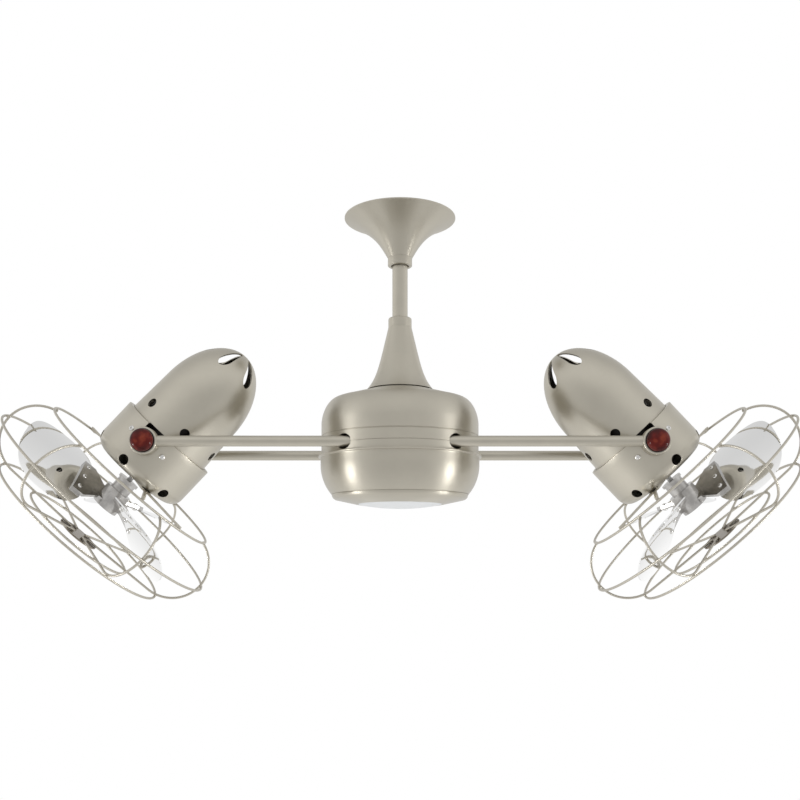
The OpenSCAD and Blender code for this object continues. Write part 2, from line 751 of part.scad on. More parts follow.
module lamp_holder() {
    rim_t = 1;
    color(cast) difference() {
        union() {
            translate([0, 0, holder_z]) cylinder(r = holder_r, h = holder_t);
            translate([0, 0, holder_z - bulb_socket_h]) cylinder(r = bulb_socket_r, h = bulb_socket_h + tiny);
            rotate_extrude() polygon([
                [holder_r - rim_t, holder_z + tiny], [holder_r, holder_z + tiny], [holder_r, holder_z],
                [reflector_r, reflector_z], [reflector_r - rim_t, reflector_z], [holder_r - rim_t, holder_z - rim_t]]);
            for (a = [90, 210, 330]) rotate([0, 0, a]) translate([holder_post_r + 4, 0, holder_z + holder_t - tiny])
                cylinder(r = 4, h = plate_z - holder_z - holder_t - seat_gap + tiny);
        }
        translate([0, 0, holder_z - bulb_socket_h - 1]) cylinder(r = bulb_r + seat_gap, h = bulb_socket_h);
        for (a = [90, 210, 330]) rotate([0, 0, a]) translate([holder_post_r + 4, 0, holder_z - 1])
            cylinder(r = screw_r + 0.1, h = plate_z - holder_z + 2, $fn = 24);
    }
}

module lamp() {
    base_z = holder_z - 1 - seat_gap;
    glass_z = base_z - bulb_r - 1;
    color(frosted) union() {
        translate([0, 0, glass_z]) cylinder(r = bulb_r, h = base_z - glass_z);
        translate([0, 0, glass_z]) sphere(r = bulb_r);
    }
}

// Four screws hold the shells to the frame and three hold the lamp holder
module frame_screws() {
    head_r = 3.6;
    head_h = 2;
    flange_low_z = lower_shell_z - seat_gap - bowl_flange_t - seat_gap;
    color(steel) {
        for (a = screw_angles) rotate([0, 0, a]) translate([screw_ring_r, 0, 0]) {
            translate([0, 0, flange_low_z]) cylinder(r = screw_r, h = plate_z + plate_t - flange_low_z, $fn = 24);
            translate([0, 0, flange_low_z - head_h]) cylinder(r = head_r, h = head_h + tiny, $fn = 24);
        }
        for (a = [90, 210, 330]) rotate([0, 0, a]) translate([holder_post_r + 4, 0, 0]) {
            translate([0, 0, holder_z - seat_gap]) cylinder(r = screw_r, h = plate_z + plate_t - holder_z, $fn = 24);
            translate([0, 0, holder_z - seat_gap - head_h]) cylinder(r = head_r - 1, h = head_h + tiny, $fn = 24);
        }
    }
}

// Arm ends and knobs

module knuckle(sign) {
    profile = [
        [0, 0], [knuckle_r - knuckle_round, 0], [knuckle_r, knuckle_round],
        [knuckle_r, knuckle_w - knuckle_round], [knuckle_r - knuckle_round, knuckle_w], [0, knuckle_w]];
    translate([-pivot_x, sign * arm_y, arm_z]) difference() {
        translate([0, -knuckle_w / 2, 0]) rotate([-90, 0, 0]) rotate_extrude() polygon(profile);
        bar_y(stud_r + running_gap, -knuckle_w, knuckle_w);
        bar_x(arm_r + seat_gap, arm_socket_floor, knuckle_r + 2);
    }
}

module knuckles(side) {
    color(nickel) on_side(side) for (sign = [-1, 1]) knuckle(sign);
}

module pivot_studs(side) {
    color(dark) on_side(side) translate([-pivot_x, 0, arm_z]) for (turn = [0, 180]) rotate([0, 0, turn]) {
        bar_y(stud_r, stud_in, stud_out);
        difference() {
            bar_y(washer_r, washer_in, washer_in + washer_t);
            bar_y(stud_r + seat_gap, washer_in - 1, washer_in + washer_t + 1);
        }
    }
}

module knob(side, sign) {
    steps = 12;
    dome = [for (i = [0 : steps]) let (a = 90 * i / steps)
        [knob_r * cos(a), knob_skirt + (knob_h - knob_skirt) * sin(a)]];
    color(wood) on_side(side) translate([-pivot_x, 0, arm_z]) rotate([-90 * sign, 0, 0]) translate([0, 0, knob_in])
        difference() {
            rotate_extrude() polygon(concat([[0, 0], [knob_r - 0.6, 0], [knob_r, 0.6]], dome));
            translate([0, 0, -1]) cylinder(r = stud_r + running_gap, h = stud_out - knob_in + 1 + face_gap);
        }
}

// Motor head, drawn in the head frame

// Rounded side of the bullet shaped shell's nose, moved in by inset. It starts where it has the taper's slope.
function bullet_side(inset) =
    let (nose_r = shell_r - shell_taper,
         start = atan(shell_taper * shell_nose / (shell_straight * nose_r)))
    [for (i = [0 : nose_steps]) let (a = start + (90 - start) * i / nose_steps)
        [(nose_r - inset) * cos(a), -shell_straight - (shell_nose - inset) * sin(a)]];

module teardrop_cut() {
    reach = slot_ring_r - slot_tip_r;
    lean = acos((teardrop_r - slot_tip_half) / reach);
    steps = 12;
    wide_end = [for (i = [-steps : steps]) let (a = (180 - lean) * i / steps)
        [slot_ring_r + teardrop_r * cos(a), teardrop_r * sin(a)]];
    narrow_end = [for (i = [-4 : 4]) let (a = 180 + lean * i / 4)
        [slot_tip_r + slot_tip_half * cos(a), slot_tip_half * sin(a)]];
    translate([0, 0, -shell_straight - shell_nose - 5]) linear_extrude(shell_nose)
        polygon(concat(wide_end, narrow_end));
}

module pivot_window(half_w, s_low, s_high) {
    for (y = [-1, 1]) translate([-half_w, y * band_r * 0.85 - band_r * 0.3, s_low])
        cube([2 * half_w, band_r * 0.6, s_high - s_low]);
}

module rear_shell(side) {
    outside = bullet_side(0);
    inside = bullet_side(head_wall);
    mouth = -shell_flange_front;
    back = [for (i = [nose_steps : -1 : 0]) inside[i]];
    color(nickel) in_head(side) difference() {
        rotate_extrude() polygon(concat(
            [[shell_r - head_wall, mouth], [shell_flange_r, mouth], [shell_flange_r, mouth - shell_flange_h],
             [shell_r, mouth - shell_flange_h]],
            outside, back));
        for (i = [0 : vent_count - 1]) {
            rotate([0, 0, teardrop_phase + i * 360 / vent_count]) teardrop_cut();
            rotate([0, 0, vent_phase + i * 360 / vent_count]) translate([0, 0, vent_s])
                bar_x(vent_r, shell_r - shell_taper - 12, shell_r + 2);
        }
        pivot_window(notch_r + 1, -band_rear - 1, mouth + 1);
    }
}

module front_band(side) {
    round_s = band_front - band_round;
    steps = 8;
    inner_round = band_round - head_wall;
    lip_in = shell_r + 0.5;
    color(nickel) in_head(side) difference() {
        rotate_extrude() polygon(concat(
            [[lip_in, -band_rear], [band_r, -band_rear]],
            [for (i = [0 : steps]) let (a = 90 * i / steps)
                [band_r - band_round + band_round * cos(a), round_s + band_round * sin(a)]],
            [[band_hole_r, band_front], [band_hole_r, band_front - head_wall]],
            [for (i = [steps : -1 : 0]) let (a = 90 * i / steps)
                [band_r - band_round + inner_round * cos(a), round_s + inner_round * sin(a)]],
            [[band_inner_r, head_wall - band_rear], [lip_in, head_wall - band_rear]]));
        for (turn = [-90, 90]) rotate([0, 0, turn]) {
            bar_x(notch_r, band_inner_r - 8, band_r + 2);
            translate([band_inner_r - 8, -notch_r, -band_rear - 1])
                cube([head_wall + 10, 2 * notch_r, band_rear + 1]);
        }
        for (i = [0 : vent_count - 1]) rotate([0, 0, front_vent_phase + i * 360 / vent_count])
            translate([band_r - band_round, 0, round_s]) rotate([0, -front_vent_lean, 0])
                bar_x(front_vent_r, inner_round - 4, band_round + 2);
        screw_turns() bar_x(band_screw_r + 0.1, band_inner_r - 2, band_r + 1);
    }
}

// Turns a piece drawn along +X to each of the four band screws
module screw_turns() {
    for (a = [90, 270]) for (b = [-pad_angle, pad_angle]) rotate([0, 0, a + b]) children();
}

module band_screws(side) {
    head_in = band_r + 0.03;
    color(steel) in_head(side) screw_turns() {
        bar_x(band_screw_r, mount_ring_r - 6, head_in + tiny);
        bar_x(band_screw_head_r, head_in, head_in + band_screw_head_h);
    }
}

module motor(side) {
    low = motor_front - motor_len;
    color(steel) in_head(side) difference() {
        union() {
            translate([0, 0, low]) cylinder(r = motor_r, h = motor_len);
            translate([0, 0, motor_front - tiny]) cylinder(r = boss_r, h = boss_h);
        }
        translate([0, 0, low + motor_skin]) cylinder(r = winding_r, h = motor_len - 2 * motor_skin);
        for (s = [low + motor_skin, motor_front - motor_skin - 7]) tube(motor_r - motor_skin, winding_r - 1, s, 7);
        translate([0, 0, -shaft_rear]) cylinder(r = shaft_r + running_gap, h = motor_len + boss_h);
    }
}

module motor_mount(side) {
    color(cast) in_head(side) difference() {
        union() {
            translate([0, 0, -ring_half]) cylinder(r = mount_ring_r, h = 2 * ring_half);
            bar_y(ear_r, -ear_out, ear_out);
            screw_turns() bar_x(pad_r, mount_ring_r - 4, pad_out);
            for (a = lug_angles) rotate([0, 0, a])
                translate([mount_ring_r - 4, -lug_w / 2, seat_gap - shell_flange_front])
                    cube([shell_flange_r - 0.6 - mount_ring_r + 4, lug_w, shell_flange_front]);
        }
        translate([0, 0, -ring_half - 20]) cylinder(r = motor_r + seat_gap, h = 2 * ring_half + 40);
        for (y = [-ear_out - 1, stud_in - seat_gap]) bar_y(stud_r + seat_gap, y, y + ear_out - stud_in + 1 + seat_gap);
        screw_turns() bar_x(band_screw_r + seat_gap, mount_ring_r - 6 - seat_gap, pad_out + 1);
    }
}

// Cage, drawn in the head frame

// One of the bracket's strips from the bar's end out to the rear ring
module cage_leg(side_sign) {
    start = [bracket_bar_r - 3, 0];
    end = rear_ring_r * [cos(side_sign * leg_spread), sin(side_sign * leg_spread)];
    run = end - start;
    translate([start[0], start[1], band_front + weld_gap]) rotate([0, 0, atan2(run[1], run[0])]) {
        translate([0, -leg_width / 2, 0]) cube([norm(run) - wire_r, leg_width, cage_bracket_t]);
        translate([norm(run) - wire_r - 2 * leg_width, -leg_width / 2, 0])
            cube([2 * leg_width, leg_width, rear_ring_s - band_front + wire_r / 2]);
    }
}

module cage_rear(side) {
    color(nickel) in_head(side) union() {
        wire_ring(rear_ring_r, rear_ring_s);
        tube(bracket_eye_r, bracket_hole_r, band_front + weld_gap, cage_bracket_t);
        for (turn = [rib_phase, rib_phase + 180]) rotate([0, 0, turn]) {
            translate([bracket_hole_r + 3, -bracket_bar_w / 2, band_front + weld_gap])
                cube([bracket_bar_r - bracket_hole_r - 3, bracket_bar_w, cage_bracket_t]);
            for (side_sign = [-1, 1]) cage_leg(side_sign);
        }
    }
}

module cage_main_ring(side) {
    color(nickel) in_head(side) wire_ring(main_ring_r, rib_centre_s);
}

module cage_front_rings(side) {
    color(nickel) in_head(side) {
        wire_ring(front_ring_r, front_ring_s);
        wire_ring(inner_ring_r, inner_ring_s);
    }
}

module rib() {
    start = -rear_ring_angle - rib_tail;
    union() {
        translate([rib_centre_r, 0, rib_centre_s]) rotate([90, 0, 0]) rotate([0, 0, start])
            rotate_extrude(angle = 90 - start) translate([rib_curve_r, 0]) circle(r = wire_r, $fn = 32);
        translate([rib_centre_r, 0, rib_front_s]) rotate([0, spoke_angle, 0])
            bar_x(wire_r - weld_gap, (rib_end_r - rib_centre_r) / cos(spoke_angle), 0.3);
    }
}

module cage_ribs(side) {
    color(nickel) in_head(side)
        for (i = [0 : rib_count - 1]) rotate([0, 0, rib_phase + i * 360 / rib_count]) rib();
}

module medallion(side) {
    curve_r = (pow(medallion_r, 2) + pow(medallion_dome, 2)) / (2 * medallion_dome);
    color(nickel) in_head(side) intersection() {
        translate([0, 0, medallion_s]) cylinder(r = medallion_r, h = medallion_edge + medallion_dome);
        translate([0, 0, medallion_s + medallion_edge + medallion_dome - curve_r]) sphere(r = curve_r, $fn = 360);
    }
}

// Fan, drawn in the head frame

module shaft(side) {
    rotor_r = winding_r - rotor_gap;
    rotor_low = motor_front - motor_len / 2 - rotor_len / 2;
    color(steel) in_head(side) union() {
        translate([0, 0, face_gap - shaft_rear]) cylinder(r = shaft_r, h = shaft_rear + cast_high_s - 1);
        translate([0, 0, rotor_low]) cylinder(r = rotor_r, h = rotor_len);
    }
}

// The curved sheet between two radii, its hollow side to the front
module curved_sheet(r_in, r_out) {
    difference() {
        translate([0, 0, blade_curve_r]) bar_x(r_out, 0, blade_tip_r + 10);
        translate([0, 0, blade_curve_r]) bar_x(r_in, -1, blade_tip_r + 11);
    }
}

// Places a screw square to the sheet at a distance y along the chord
module on_sheet(x, y) {
    translate([x, 0, blade_curve_r]) rotate([asin(y / blade_curve_r), 0, 0])
        translate([0, 0, -blade_curve_r]) children();
}

module blade_screw_places() {
    for (i = [-1 : 1]) on_sheet(blade_root_r + blade_lap / 2, i * blade_screw_pitch) children();
}

module blade_outline() {
    edge = [for (i = [0 : outline_steps - 1]) let (a = 360 * i / outline_steps)
        [blade_mid_r + blade_half_span * sign(cos(a)) * pow(abs(cos(a)), 2 / blade_power),
         blade_half_chord * sign(sin(a)) * pow(abs(sin(a)), 2 / blade_power)]];
    intersection() {
        polygon(edge);
        translate([blade_root_r, -blade_half_chord]) square([blade_tip_r, 2 * blade_half_chord]);
    }
}

module blade(side, index) {
    color(chrome) in_head(side) on_blade(index) difference() {
        intersection() {
            curved_sheet(blade_curve_r, blade_curve_r + blade_t);
            translate([0, 0, -blade_half_chord]) linear_extrude(2 * blade_half_chord) blade_outline();
        }
        blade_screw_places() translate([0, 0, -10]) cylinder(r = blade_screw_r + 0.05, h = 20);
    }
}

module blade_bracket() {
    inner = blade_curve_r + blade_t + seat_gap;
    far_x = blade_root_r + blade_lap;
    difference() {
        intersection() {
            curved_sheet(inner, inner + bracket_t_blade);
            translate([0, 0, -blade_half_chord]) linear_extrude(2 * blade_half_chord) polygon([
                [0, -arm_root_half], [cast_hub_r, -arm_root_half], [blade_root_r - 2, -arm_tip_half],
                [far_x, -arm_tip_half], [far_x, arm_tip_half], [blade_root_r - 2, arm_tip_half],
                [cast_hub_r, arm_root_half], [0, arm_root_half]]);
        }
        blade_screw_places() translate([0, 0, -10]) cylinder(r = blade_screw_r + 0.05, h = 20);
    }
}

module blade_hub(side) {
    color(cast) in_head(side) difference() {
        union() {
            translate([0, 0, hub_disc_s]) cylinder(r = hub_disc_r, h = hub_disc_t);
            translate([0, 0, hub_disc_s]) cylinder(r = hub_neck_r, h = cast_low_s - hub_disc_s + tiny);
            translate([0, 0, cast_low_s]) cylinder(r = cast_hub_r, h = cast_high_s - cast_low_s);
            for (i = [0 : blade_count - 1]) on_blade(i) blade_bracket();
        }
        translate([0, 0, hub_disc_s - 1]) cylinder(r = shaft_r + seat_gap, h = cast_high_s);
    }
}

module blade_screws(side) {
    head_h = 2;
    shank_low = -blade_t - bracket_t_blade;
    color(steel) in_head(side) for (i = [0 : blade_count - 1]) on_blade(i) blade_screw_places() {
        translate([0, 0, shank_low]) cylinder(r = blade_screw_r, h = 0.06 - shank_low);
        translate([0, 0, 0.05]) cylinder(r = blade_screw_head_r, h = head_h);
    }
}

// Pieces

function wants(name) = node == "all" || node == name;

if (wants("canopy")) canopy();
if (wants("hanger_bracket")) hanger_bracket();
if (wants("hanger_ball")) hanger_ball();
if (wants("rod_pins")) rod_pins();
if (wants("downrod")) downrod();
if (wants("rod_collars")) rod_collars();
if (wants("rod_cover")) rod_cover();
if (wants("spindle")) spindle();
if (wants("hub_dome")) hub_dome();
if (wants("hub_lower_shell")) hub_lower_shell();
if (wants("hub_bearings")) hub_bearings();
if (wants("hub_frame")) hub_frame();
if (wants("front_arm")) arm_tube(-arm_y);
if (wants("back_arm")) arm_tube(arm_y);
if (wants("bowl")) bowl();
if (wants("bezel")) bezel();
if (wants("lens")) lens();
if (wants("lamp_holder")) lamp_holder();
if (wants("lamp")) lamp();
if (wants("frame_screws")) frame_screws();
for (side = SIDES) {
    if (wants(str(side, "_knuckles"))) knuckles(side);
    if (wants(str(side, "_rear_shell"))) rear_shell(side);
    if (wants(str(side, "_front_band"))) front_band(side);
    if (wants(str(side, "_motor"))) motor(side);
    if (wants(str(side, "_motor_mount"))) motor_mount(side);
    if (wants(str(side, "_band_screws"))) band_screws(side);
    if (wants(str(side, "_pivot_studs"))) pivot_studs(side);
    if (wants(str(side, "_front_knob"))) knob(side, -1);
    if (wants(str(side, "_back_knob"))) knob(side, 1);
    if (wants(str(side, "_cage_rear"))) cage_rear(side);
    if (wants(str(side, "_cage_main_ring"))) cage_main_ring(side);
    if (wants(str(side, "_cage_front_rings"))) cage_front_rings(side);
    if (wants(str(side, "_cage_ribs"))) cage_ribs(side);
    if (wants(str(side, "_medallion"))) medallion(side);
    if (wants(str(side, "_shaft"))) shaft(side);
    if (wants(str(side, "_blade_hub"))) blade_hub(side);
    for (i = [1 : blade_count]) if (wants(str(side, "_blade_", i))) blade(side, i - 1);
    if (wants(str(side, "_blade_screws"))) blade_screws(side);
}
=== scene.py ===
"""Twin head ceiling fan: trumpet canopy, domed hub with a lamp, caged heads on parallel arm tubes.

Sizes are millimetres in the classes and metres in the scene. A head's pieces are drawn in the
head's own frame, whose origin is the tilt pivot, +Z the way the fan blows, +X the upper side and
+Y the far side.
"""

from __future__ import annotations

import logging
import math
from collections.abc import Sequence
from dataclasses import dataclass, field
from enum import Enum

import bmesh
import bpy
from mathutils import Matrix, Vector

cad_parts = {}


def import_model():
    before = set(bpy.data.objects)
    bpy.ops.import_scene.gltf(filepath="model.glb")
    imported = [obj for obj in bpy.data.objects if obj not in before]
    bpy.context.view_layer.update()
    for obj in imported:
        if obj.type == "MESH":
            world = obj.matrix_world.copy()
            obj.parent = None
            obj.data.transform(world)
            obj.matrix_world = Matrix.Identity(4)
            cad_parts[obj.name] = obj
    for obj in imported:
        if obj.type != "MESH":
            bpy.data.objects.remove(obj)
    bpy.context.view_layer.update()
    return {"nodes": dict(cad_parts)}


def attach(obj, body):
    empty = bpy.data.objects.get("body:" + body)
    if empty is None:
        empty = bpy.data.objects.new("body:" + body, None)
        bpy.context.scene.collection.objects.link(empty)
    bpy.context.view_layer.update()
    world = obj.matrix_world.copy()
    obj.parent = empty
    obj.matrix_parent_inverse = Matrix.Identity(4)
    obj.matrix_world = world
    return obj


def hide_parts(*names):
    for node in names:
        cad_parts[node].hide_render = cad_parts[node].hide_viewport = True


LOG = logging.getLogger("ceiling_fan")
MM = 0.001
QUARTER = math.pi / 2
HUB_STEPS = 192
HEAD_STEPS = 168
RING_STEPS = 96
Point = tuple[float, float]
Shape = bmesh.types.BMesh
Vertex = bmesh.types.BMVert
Piece = bpy.types.Object


class Side(Enum):
    """The two arms' ends, as the front view shows them."""

    LEFT = "left"
    RIGHT = "right"

    @property
    def sign(self) -> float:
        """Which way along X this side lies."""
        return -1.0 if self is Side.LEFT else 1.0


@dataclass(frozen=True)
class Layout:
    """Where the main pieces meet, in millimetres."""

    arm_z: float = -287.0
    arm_y: float = 71.2
    pivot_x: float = 300.0
    tilt: float = 46.5
    dome_h: float = 77.8
    dome_slope: float = 0.29
    dome_hole_r: float = 19.0
    lower_z: float = -297.0

    def head_matrix(self, side: Side) -> Matrix:
        """Places a piece drawn in the head's frame.

        Args:
            side: The arm's end that carries the head.

        Returns:
            A matrix in metres, mirrored for the right side.
        """
        left = Matrix.Translation(Vector((-self.pivot_x, 0, self.arm_z)) * MM) @ Matrix.Rotation(
            math.radians(-90 - self.tilt), 4, "Y"
        )
        return left if side is Side.LEFT else Matrix.Diagonal((-1, 1, 1, 1)) @ left

    def axis_euler(self, side: Side) -> tuple[float, float, float]:
        """The turn that brings Z onto the head's axis on this side."""
        return (0.0, side.sign * math.radians(90 + self.tilt), 0.0)


LAYOUT = Layout()


# Shader maths


class Wire:
    """A shader socket that takes part in Python expressions."""

    def __init__(self, graph: "Graph", socket: bpy.types.NodeSocket) -> None:
        """Wraps a socket of the graph."""
        self.graph = graph
        self.socket = socket

    def _math(self, operation: str, *values: "Wire | float") -> "Wire":
        """Adds a Math node on these values."""
        return self.graph.node("ShaderNodeMath", {"operation": operation}, dict(enumerate(values)))

    def __add__(self, other: "Wire | float") -> "Wire":
        """Sum."""
        return self._math("ADD", self, other)

    __radd__ = __add__

    def __sub__(self, other: "Wire | float") -> "Wire":
        """Difference."""
        return self._math("SUBTRACT", self, other)

    def __rsub__(self, other: "Wire | float") -> "Wire":
        """Reflected difference."""
        return self._math("SUBTRACT", other, self)

    def __mul__(self, other: "Wire | float") -> "Wire":
        """Product."""
        return self._math("MULTIPLY", self, other)

    __rmul__ = __mul__

    def __truediv__(self, other: "Wire | float") -> "Wire":
        """Quotient."""
        return self._math("DIVIDE", self, other)

    def __abs__(self) -> "Wire":
        """Size without its sign."""
        return self._math("ABSOLUTE", self)

    def root(self) -> "Wire":
        """Square root."""
        return self._math("SQRT", self)

    def ramp(self, low: float, high: float, to_low: float = 0.0, to_high: float = 1.0) -> "Wire":
        """Maps low to high smoothly onto to_low to to_high."""
        return self.graph.node(
            "ShaderNodeMapRange",
            {"interpolation_type": "SMOOTHSTEP"},
            {"Value": self, "From Min": low, "From Max": high, "To Min": to_low, "To Max": to_high},
        )


class Graph:
    """A node tree that is written as expressions."""

    def __init__(self, tree: bpy.types.NodeTree) -> None:
        """Empties the tree and takes it over."""
        tree.nodes.clear()
        self.tree = tree

    def node(
        self,
        kind: str,
        settings: dict[str, object] | None = None,
        values: dict[str | int, object] | None = None,
        output: str | int = 0,
    ) -> Wire:
        """Adds a node, its settings first and its sockets' values or links after.

        Args:
            kind: The node's type.
            settings: The node's own properties. "stops" is a ramp's list of (place, colour).
            values: A Wire, a number or a tuple for each named or numbered input.
            output: Which output is wanted.

        Returns:
            The wanted output.
        """
        made = self.tree.nodes.new(kind)
        for key, value in (settings or {}).items():
            if key == "stops":
                stops = made.color_ramp.elements
                while len(stops) < len(value):
                    stops.new(0.5)
                for stop, (place, colour) in zip(stops, value):
                    stop.position = place
                    stop.color = (*colour, 1.0)
            else:
                setattr(made, key, value)
        for key, value in (values or {}).items():
            socket = made.inputs[key]
            if isinstance(value, Wire):
                self.tree.links.new(value.socket, socket)
            elif isinstance(value, tuple) and len(value) == 3 and len(socket.default_value) == 4:
                socket.default_value = (*value, 1.0)
            else:
                socket.default_value = value
        return Wire(self, made.outputs[output])

    def place(self, centre: Sequence[float] = (0, 0, 0), turn: Sequence[float] = (0, 0, 0)) -> Wire:
        """Object coordinates, centred and turned for a piece."""
        raw = self.node("ShaderNodeTexCoord", output="Object")
        return self.node(
            "ShaderNodeMapping",
            {"vector_type": "TEXTURE"},
            {"Vector": raw, "Location": tuple(centre), "Rotation": tuple(turn)},
        )

    def noise(self, where: Wire, scale: float, detail: float = 2.0, rough: float = 0.5) -> Wire:
        """Fractal noise at a scale per metre, from 0 to 1."""
        values = {"Vector": where, "Scale": scale, "Detail": detail, "Roughness": rough}
        return self.node("ShaderNodeTexNoise", {}, values)

    def mix(self, factor: Wire | float, low: object, high: object) -> Wire:
        """Blends two colours."""
        made = self.tree.nodes.new("ShaderNodeMix")
        made.data_type = "RGBA"
        for name, value in (("Factor_Float", factor), ("A_Color", low), ("B_Color", high)):
            socket = next(s for s in made.inputs if s.identifier == name)
            if isinstance(value, Wire):
                self.tree.links.new(value.socket, socket)
            else:
                socket.default_value = (*value, 1.0) if isinstance(value, tuple) else value
        return Wire(self, next(s for s in made.outputs if s.identifier == "Result_Color"))

    def bump(self, height: Wire, strength: float, distance: float) -> Wire:
        """A surface's relief from a height."""
        values = {"Height": height, "Strength": strength, "Distance": distance}
        return self.node("ShaderNodeBump", {}, values)

    def brushed(self, where: Wire, along: float, across: float) -> Wire:
        """Fine lines that run round the piece's own Z axis.

        Args:
            where: Coordinates centred on the axis.
            along: How often the lines break along their run.
            across: Lines per metre.

        Returns:
            Noise from 0 to 1.
        """
        parts = self.tree.nodes.new("ShaderNodeSeparateXYZ")
        self.tree.links.new(where.socket, parts.inputs[0])
        x, y, z = (Wire(self, parts.outputs[i]) for i in range(3))
        radius = (x * x + y * y + 1e-8).root()
        lines = self.node(
            "ShaderNodeCombineXYZ",
            {},
            {0: x / radius * along, 1: y / radius * along, 2: z * across},
        )
        values = {"Vector": lines, "W": radius * across, "Scale": 1.0}
        return self.node("ShaderNodeTexNoise", {"noise_dimensions": "4D"}, values)


# Finishes


@dataclass(frozen=True)
class Finish:
    """A surface: its colour and how it takes light."""

    name: str
    colour: tuple[float, float, float] = (0.6, 0.6, 0.6)
    rough: float = 0.4
    metal: float = 1.0
    centre: tuple[float, float, float] = (0.0, 0.0, 0.0)
    turn: tuple[float, float, float] = (0.0, 0.0, 0.0)

    def material(self) -> bpy.types.Material:
        """The finish's material, made once."""
        made = bpy.data.materials.get(self.name)
        if made is None:
            made = bpy.data.materials.new(self.name)
            made.use_nodes = True
            graph = Graph(made.node_tree)
            shader = graph.tree.nodes.new("ShaderNodeBsdfPrincipled")
            out = graph.tree.nodes.new("ShaderNodeOutputMaterial")
            graph.tree.links.new(shader.outputs[0], out.inputs[0])
            shader.inputs["Metallic"].default_value = self.metal
            for key, value in self.surface(graph, graph.place(self.centre, self.turn)).items():
                if isinstance(value, Wire):
                    graph.tree.links.new(value.socket, shader.inputs[key])
                else:
                    shader.inputs[key].default_value = value
        return made

    def surface(self, graph: Graph, where: Wire) -> dict[str, object]:
        """The shader's inputs.

        Args:
            graph: The material's nodes.
            where: Coordinates on the piece.

        Returns:
            A value or a Wire for each named input.
        """
        tone = graph.noise(where, 60.0, 3.0)
        return {
            "Base Color": graph.mix(tone, self.shade(0.92), self.shade(1.04)),
            "Roughness": tone * 0.1 + (self.rough - 0.05),
        }

    def shade(self, factor: float) -> tuple[float, ...]:
        """The finish's colour made darker or paler."""
        return tuple(min(c * factor, 1.0) for c in self.colour)


@dataclass(frozen=True)
class SatinNickel(Finish):
    """Plated sheet brushed round its axis, with faint cloudy toning."""

    lines: float = 5200.0
    relief: float = 0.03
    grain: float = 0.0

    def surface(self, graph: Graph, where: Wire) -> dict[str, object]:
        """See Finish.surface."""
        brush = graph.brushed(where, 9.0, self.lines)
        cloud = graph.noise(where, 24.0, 3.0, 0.6)
        speck = graph.noise(where, 900.0, 2.0, 0.6)
        tone = cloud.ramp(0.3, 0.7) * 0.4 + speck * 0.25 + brush * 0.35
        return {
            "Base Color": graph.mix(tone, self.shade(0.93), self.shade(1.06)),
            "Roughness": brush * 0.12 + cloud * 0.06 + (self.rough - 0.09),
            "Anisotropic": self.grain,
            "Anisotropic Rotation": 0.25,
            "Normal": graph.bump(brush * 0.7 + speck * 0.3, self.relief, 0.0002),
        }


@dataclass(frozen=True)
class DrawnWire(Finish):
    """Thin plated rod, a little uneven along its length."""

    def surface(self, graph: Graph, where: Wire) -> dict[str, object]:
        """See Finish.surface."""
        cloud = graph.noise(where, 45.0, 2.0)
        speck = graph.noise(where, 700.0, 2.0, 0.6)
        tone = cloud * 0.7 + speck * 0.3
        return {
            "Base Color": graph.mix(tone, self.shade(0.88), self.shade(1.08)),
            "Roughness": cloud * 0.1 + speck * 0.04 + (self.rough - 0.07),
            "Normal": graph.bump(speck, 0.02, 0.0002),
        }


@dataclass(frozen=True)
class MirrorPlate(Finish):
    """Polished chrome sheet with the faintest orange peel and polishing haze."""

    def surface(self, graph: Graph, where: Wire) -> dict[str, object]:
        """See Finish.surface."""
        peel = graph.noise(where, 70.0, 1.0)
        haze = graph.noise(where, 18.0, 4.0, 0.65)
        return {
            "Base Color": graph.mix(haze, self.shade(0.97), self.colour),
            "Roughness": haze.ramp(0.35, 0.75, self.rough * 0.7, self.rough * 1.6),
            "Normal": graph.bump(peel, 0.02, 0.001),
        }


@dataclass(frozen=True)
class CastMetal(Finish):
    """Tumbled aluminium casting: fine grain, small pits and cloudy darker patches."""

    def surface(self, graph: Graph, where: Wire) -> dict[str, object]:
        """See Finish.surface."""
        grain = graph.noise(where, 1100.0, 3.0, 0.7)
        cloud = graph.noise(where, 70.0, 3.0, 0.6)
        cells = graph.node("ShaderNodeTexVoronoi", {}, {"Vector": where, "Scale": 420.0})
        pits = cells.ramp(0.04, 0.22)
        tone = cloud.ramp(0.3, 0.75) * 0.7 + grain * 0.3
        return {
            "Base Color": graph.mix(tone, self.shade(0.66), self.shade(1.1)),
            "Roughness": cloud * 0.2 + grain * 0.1 + (self.rough - 0.15),
            "Normal": graph.bump(grain * 0.6 + pits * 0.4, 0.16, 0.0004),
        }


@dataclass(frozen=True)
class BurlWood(Finish):
    """Red-brown burl under a thick gloss lacquer."""

    def surface(self, graph: Graph, where: Wire) -> dict[str, object]:
        """See Finish.surface."""
        swirl = graph.noise(where, 48.0, 3.0, 0.5)
        grain = graph.noise(where, 260.0, 2.0, 0.5)
        ramp = graph.node(
            "ShaderNodeValToRGB",
            {
                "stops": [
                    (0.0, (0.012, 0.001, 0.001)),
                    (0.38, (0.06, 0.003, 0.002)),
                    (0.66, (0.11, 0.007, 0.004)),
                    (1.0, (0.26, 0.045, 0.02)),
                ]
            },
            {0: swirl.ramp(0.28, 0.75) * 0.85 + grain * 0.15},
        )
        return {
            "Base Color": ramp,
            "Roughness": swirl * 0.12 + (self.rough - 0.04),
            "Specular IOR Level": 0.1,
            "Coat Weight": 0.2,
            "Coat Roughness": 0.04,
            "Normal": graph.bump(grain, 0.02, 0.0003),
        }


